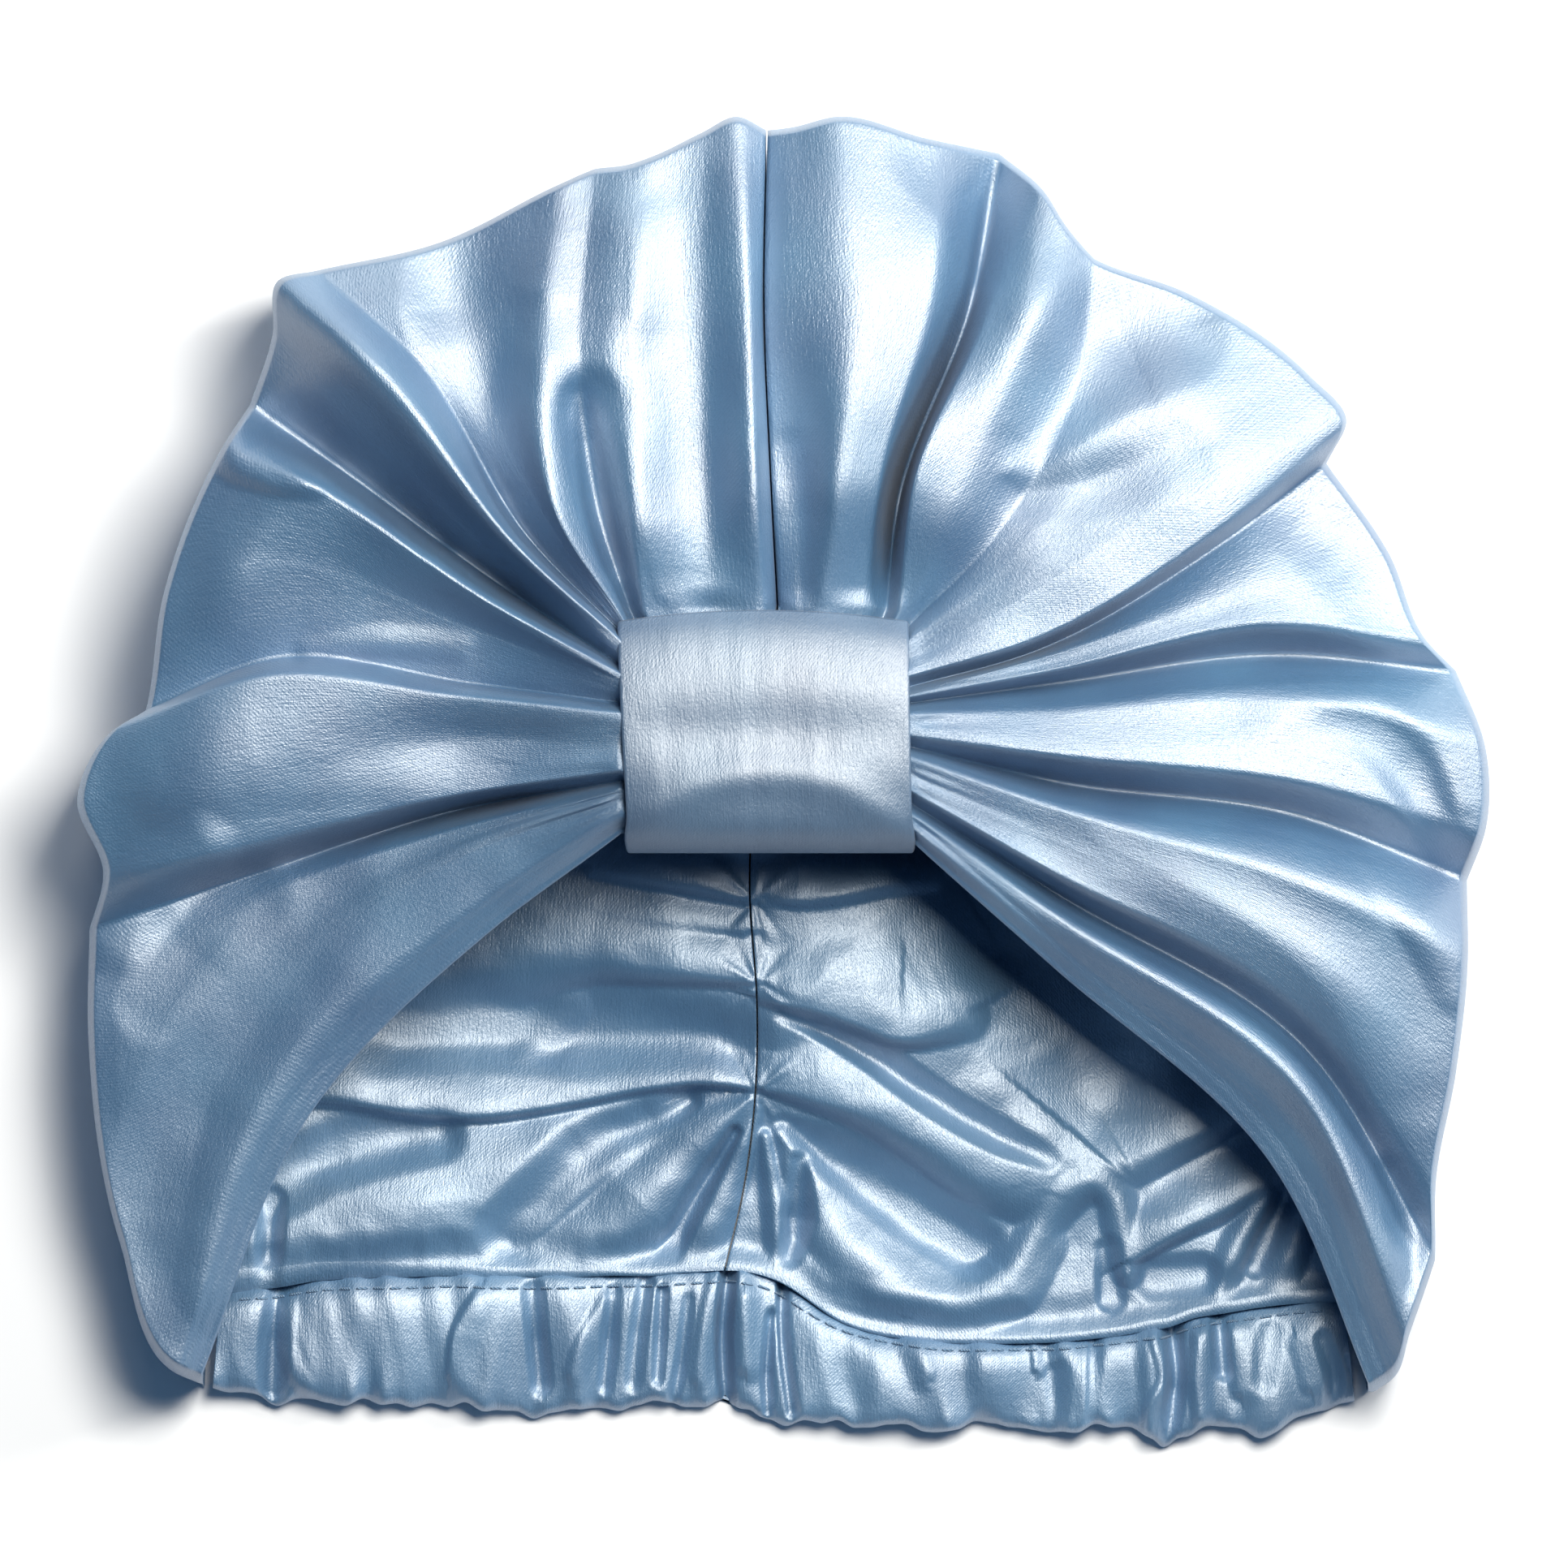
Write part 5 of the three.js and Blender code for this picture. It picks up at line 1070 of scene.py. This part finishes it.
def knot_band():
    outer, inner = band_section(BAND_ROWS)
    share = np.linspace(0, 1, BAND_ROWS)[:, None]
    across = np.linspace(0, 1, BAND_COLUMNS)[None]
    middle = across * 2 - 1
    along = (outer[:, :1] - BAND_HEM) / BAND_LENGTH
    taper = BAND_TAPER * np.clip(1 - along, 0, 1) ** BAND_TAPER_POWER
    lip = bell(along - BAND_LIP[0], BAND_LIP[1])
    left = BAND_LEFT + taper - LIP_LEFT * lip
    right = BAND_RIGHT + taper / 3 + LIP_RIGHT * lip
    x = left + (right - left) * across

    def swelling(place, width, rise):
        return rise * bell(along - place, width)

    place, width, rise = BAND_ROLL
    bulge = swelling(place - BAND_ROLL_BOW * middle ** 2, width, rise) - swelling(*BAND_DIP)
    bulge += swelling(*BAND_SWELL) * bell(middle - SWELL_ACROSS[0], SWELL_ACROSS[1])
    for cell, beats, rise, seed in BAND_UNEVEN:
        bulge = bulge + soft_noise(x / cell, share * beats, seed) * rise
    arch = BAND_ARCH * (1 - middle ** 2) * smooth_step((along - 1 + ARCH_SHARE) / ARCH_SHARE)
    on_top = smooth_step((share - LEG_SHARE) / LEG_BLEND)
    y = outer[:, :1] + arch - BAND_SHIFT
    z = outer[:, 1:] + (bulge * (1 - middle ** 6) - BAND_FALL * middle ** 4) * on_top
    face = np.stack([x, y, z], axis=-1)
    lining = face.copy()
    lining[:, :, 1:] += (inner - outer)[:, None]
    face = np.concatenate([rolled_edge(face, lining, True), face, rolled_edge(face, lining, False)], axis=1)
    spread = np.linspace(0, BAND_COLUMNS - 1, face.shape[1])
    before = np.minimum(spread.astype(int), BAND_COLUMNS - 2)
    lining = lining[:, before] + (lining[:, before + 1] - lining[:, before]) * (spread - before)[:, None]
    return cloth_body("band_drawn", face, lining)


# Materials

def new_material(name, roughness):
    """A material, and the nodes, links and shader to build it with."""
    material = bpy.data.materials.new(name)
    material.use_nodes = True
    nodes = material.node_tree.nodes
    shader = nodes["Principled BSDF"]
    shader.inputs["Roughness"].default_value = roughness
    return material, nodes, material.node_tree.links, shader


def set_inputs(node, **values):
    """Set a node's inputs, named with underscores for spaces."""
    for name, value in values.items():
        node.inputs[name.replace("_", " ")].default_value = value


def mixed(nodes, links, factor, first, second):
    """A colour between two, by a factor."""
    mix = nodes.new("ShaderNodeMix")
    mix.data_type = "RGBA"
    set_inputs(mix, A=(*first, 1), B=(*second, 1))
    links.new(factor, mix.inputs["Factor"])
    return mix.outputs["Result"]


def bumped(nodes, links, height, strength, distance, before=None):
    """A normal that follows a height, on top of another normal."""
    node = nodes.new("ShaderNodeBump")
    set_inputs(node, Strength=strength, Distance=distance)
    links.new(height, node.inputs["Height"])
    if before:
        links.new(before, node.inputs["Normal"])
    return node.outputs["Normal"]


def satin(name, light, dark, roughness):
    """Glossy cloth with brushed grain along its length, a fine twill, glints and soft unevenness."""
    material, nodes, links, shader = new_material(name, roughness)
    set_inputs(shader, IOR=SATIN_INDEX, Metallic=SATIN_METAL, Sheen_Weight=0.06, Sheen_Roughness=0.4)
    threads = nodes.new("ShaderNodeUVMap")
    threads.uv_map = "cloth"
    place = nodes.new("ShaderNodeTexCoord")

    def placed(texture, source, **values):
        mapping = nodes.new("ShaderNodeMapping")
        set_inputs(mapping, **values)
        links.new(source, mapping.inputs["Vector"])
        links.new(mapping.outputs["Vector"], texture.inputs["Vector"])
        return texture.outputs["Fac"]

    def noise(source, scale, detail, rough=0.5):
        texture = nodes.new("ShaderNodeTexNoise")
        set_inputs(texture, Scale=1.0, Detail=detail, Roughness=rough)
        return placed(texture, source, Scale=scale)

    def ranged(factor, **values):
        node = nodes.new("ShaderNodeMapRange")
        set_inputs(node, **values)
        links.new(factor, node.inputs["Value"])
        return node.outputs["Result"]

    grain = noise(threads.outputs["UV"], (2200, 280, 1), 3, 0.6)
    glint = noise(place.outputs["Object"], (2000, 1300, 1200), 2, 0.7)
    cloud = noise(place.outputs["Object"], (38, 30, 30), 2)
    wrinkle = noise(threads.outputs["UV"], (170, 90, 1), 3)
    wave = nodes.new("ShaderNodeTexWave")
    set_inputs(wave, Scale=560, Distortion=0.8, Detail=1)
    twill = placed(wave, threads.outputs["UV"], Rotation=(0, 0, radians(38)))

    shade = mixed(nodes, links, ranged(cloud, From_Min=0.3, From_Max=0.7), dark, light)
    links.new(shade, shader.inputs["Base Color"])
    gloss = ranged(grain, To_Min=roughness - SATIN_SPREAD, To_Max=roughness + SATIN_SPREAD)
    links.new(gloss, shader.inputs["Roughness"])
    normal = None
    for height, strength, distance in (
        (wrinkle, 0.3, 0.0005), (twill, 0.3, 0.00005), (grain, 0.7, 0.0002), (glint, 0.7, 0.00017),
    ):
        normal = bumped(nodes, links, height, strength, distance, normal)
    links.new(normal, shader.inputs["Normal"])
    return material


def thread_material():
    """Matt twisted thread."""
    material, nodes, links, shader = new_material("thread", 0.7)
    set_inputs(shader, Sheen_Weight=0.2)
    place = nodes.new("ShaderNodeTexCoord")
    twist = nodes.new("ShaderNodeTexWave")
    set_inputs(twist, Scale=900)
    twist.bands_direction = "DIAGONAL"
    links.new(place.outputs["Object"], twist.inputs["Vector"])
    ply = twist.outputs["Fac"]
    shade = mixed(nodes, links, ply, (0.06, 0.14, 0.26), (0.16, 0.27, 0.42))
    links.new(shade, shader.inputs["Base Color"])
    links.new(bumped(nodes, links, ply, 1, 0.0001), shader.inputs["Normal"])
    return material


def floor_material():
    material, _, _, shader = new_material("pale_floor", 0.9)
    set_inputs(shader, Base_Color=(0.85, 0.89, 0.96, 1))
    return material


# Camera, lamps and floor

def add_item(name, data):
    item = bpy.data.objects.new(name, data)
    bpy.context.scene.collection.objects.link(item)
    return item


def camera():
    data = bpy.data.cameras.new("camera")
    data.sensor_width = SENSOR
    data.lens = SENSOR * CAMERA_HEIGHT / (PHOTO_PIXELS * MM_PER_PIXEL * MM)
    data.clip_end = 20
    item = add_item("camera", data)
    x = (PHOTO_PIXELS / 2 - CAP_MIDDLE_PIXEL[0]) * MM_PER_PIXEL * MM
    y = (CAP_MIDDLE_PIXEL[1] - PHOTO_PIXELS / 2) * MM_PER_PIXEL * MM
    item.location = (x, y, CAMERA_HEIGHT)
    bpy.context.scene.camera = item


def lamp(name, place, size, power):
    data = bpy.data.lights.new(name, "AREA")
    data.shape = "RECTANGLE"
    data.size, data.size_y = size
    data.energy = power
    data.color = LAMP_COLOUR
    item = add_item(name, data)
    item.location = place
    item.rotation_euler = (Vector(LAMP_AIM) - Vector(place)).to_track_quat("-Z", "Y").to_euler()


def studio():
    world = bpy.data.worlds.new("studio")
    bpy.context.scene.world = world
    world.use_nodes = True
    set_inputs(world.node_tree.nodes["Background"], Color=(0.3, 0.6, 1, 1), Strength=0.14)
    lamp("key", (0.22, 0.3, 0.97), (0.4, 0.4), 15.5)
    lamp("far", (-0.1, 1.0, 0.55), (0.6, 0.2), 3.4)
    lamp("side", (0.8, 0.4, 0.6), (0.3, 0.3), 8.0)
    bpy.context.scene.view_settings.view_transform = "Standard"
    mesh = bpy.data.meshes.new("floor")
    corners = [(x * FLOOR_HALF, y * FLOOR_HALF, FLOOR_DROP) for x, y in ((-1, -1), (1, -1), (1, 1), (-1, 1))]
    mesh.from_pydata(corners, [], [(0, 1, 2, 3)])
    mesh.materials.append(floor_material())
    add_item("floor", mesh)


def dress(piece, node, material):
    """Give a piece its look, hang it under the root body, and hide the solid it stands for, if any."""
    piece.data.materials.append(material)
    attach(piece, "root")
    if node:
        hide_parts(node)


camera()
studio()

front_satin = satin("front_satin", (0.045, 0.17, 0.34), (0.022, 0.11, 0.26), 0.5)
# The back's and the casing's copy of the satin has a lighter colour than the front's: painted light where the
# inside of the cap lies in shade
back_satin = satin("back_satin", (0.07, 0.21, 0.4), (0.035, 0.145, 0.31), 0.52)
# The band's copy of the satin has a darker colour than the front's: painted shade, against the key lamp's
# full light on the band's top
band_satin = satin("band_satin", (0.03, 0.115, 0.24), (0.018, 0.08, 0.19), 0.57)

centre = [row[0] for row in FOLD_ROWS].index("centre_seam")
left = front_half("front_left", FOLD_ROWS[:centre + 1], False, 11)
right = front_half("front_right", FOLD_ROWS[centre:], True, 21)
dress(left, "crown_left", front_satin)
dress(right, "crown_right", front_satin)
panel_left = back_half("back_panel_left", -1)
panel_right = back_half("back_panel_right", 1)
dress(panel_left, "back_left", back_satin)
dress(panel_right, "back_right", back_satin)
sleeve, stitch_line = casing()
dress(sleeve, "nape_casing", back_satin)
dress(stitch_row(stitch_line), None, thread_material())
dress(knot_band(), "knot_band", band_satin)
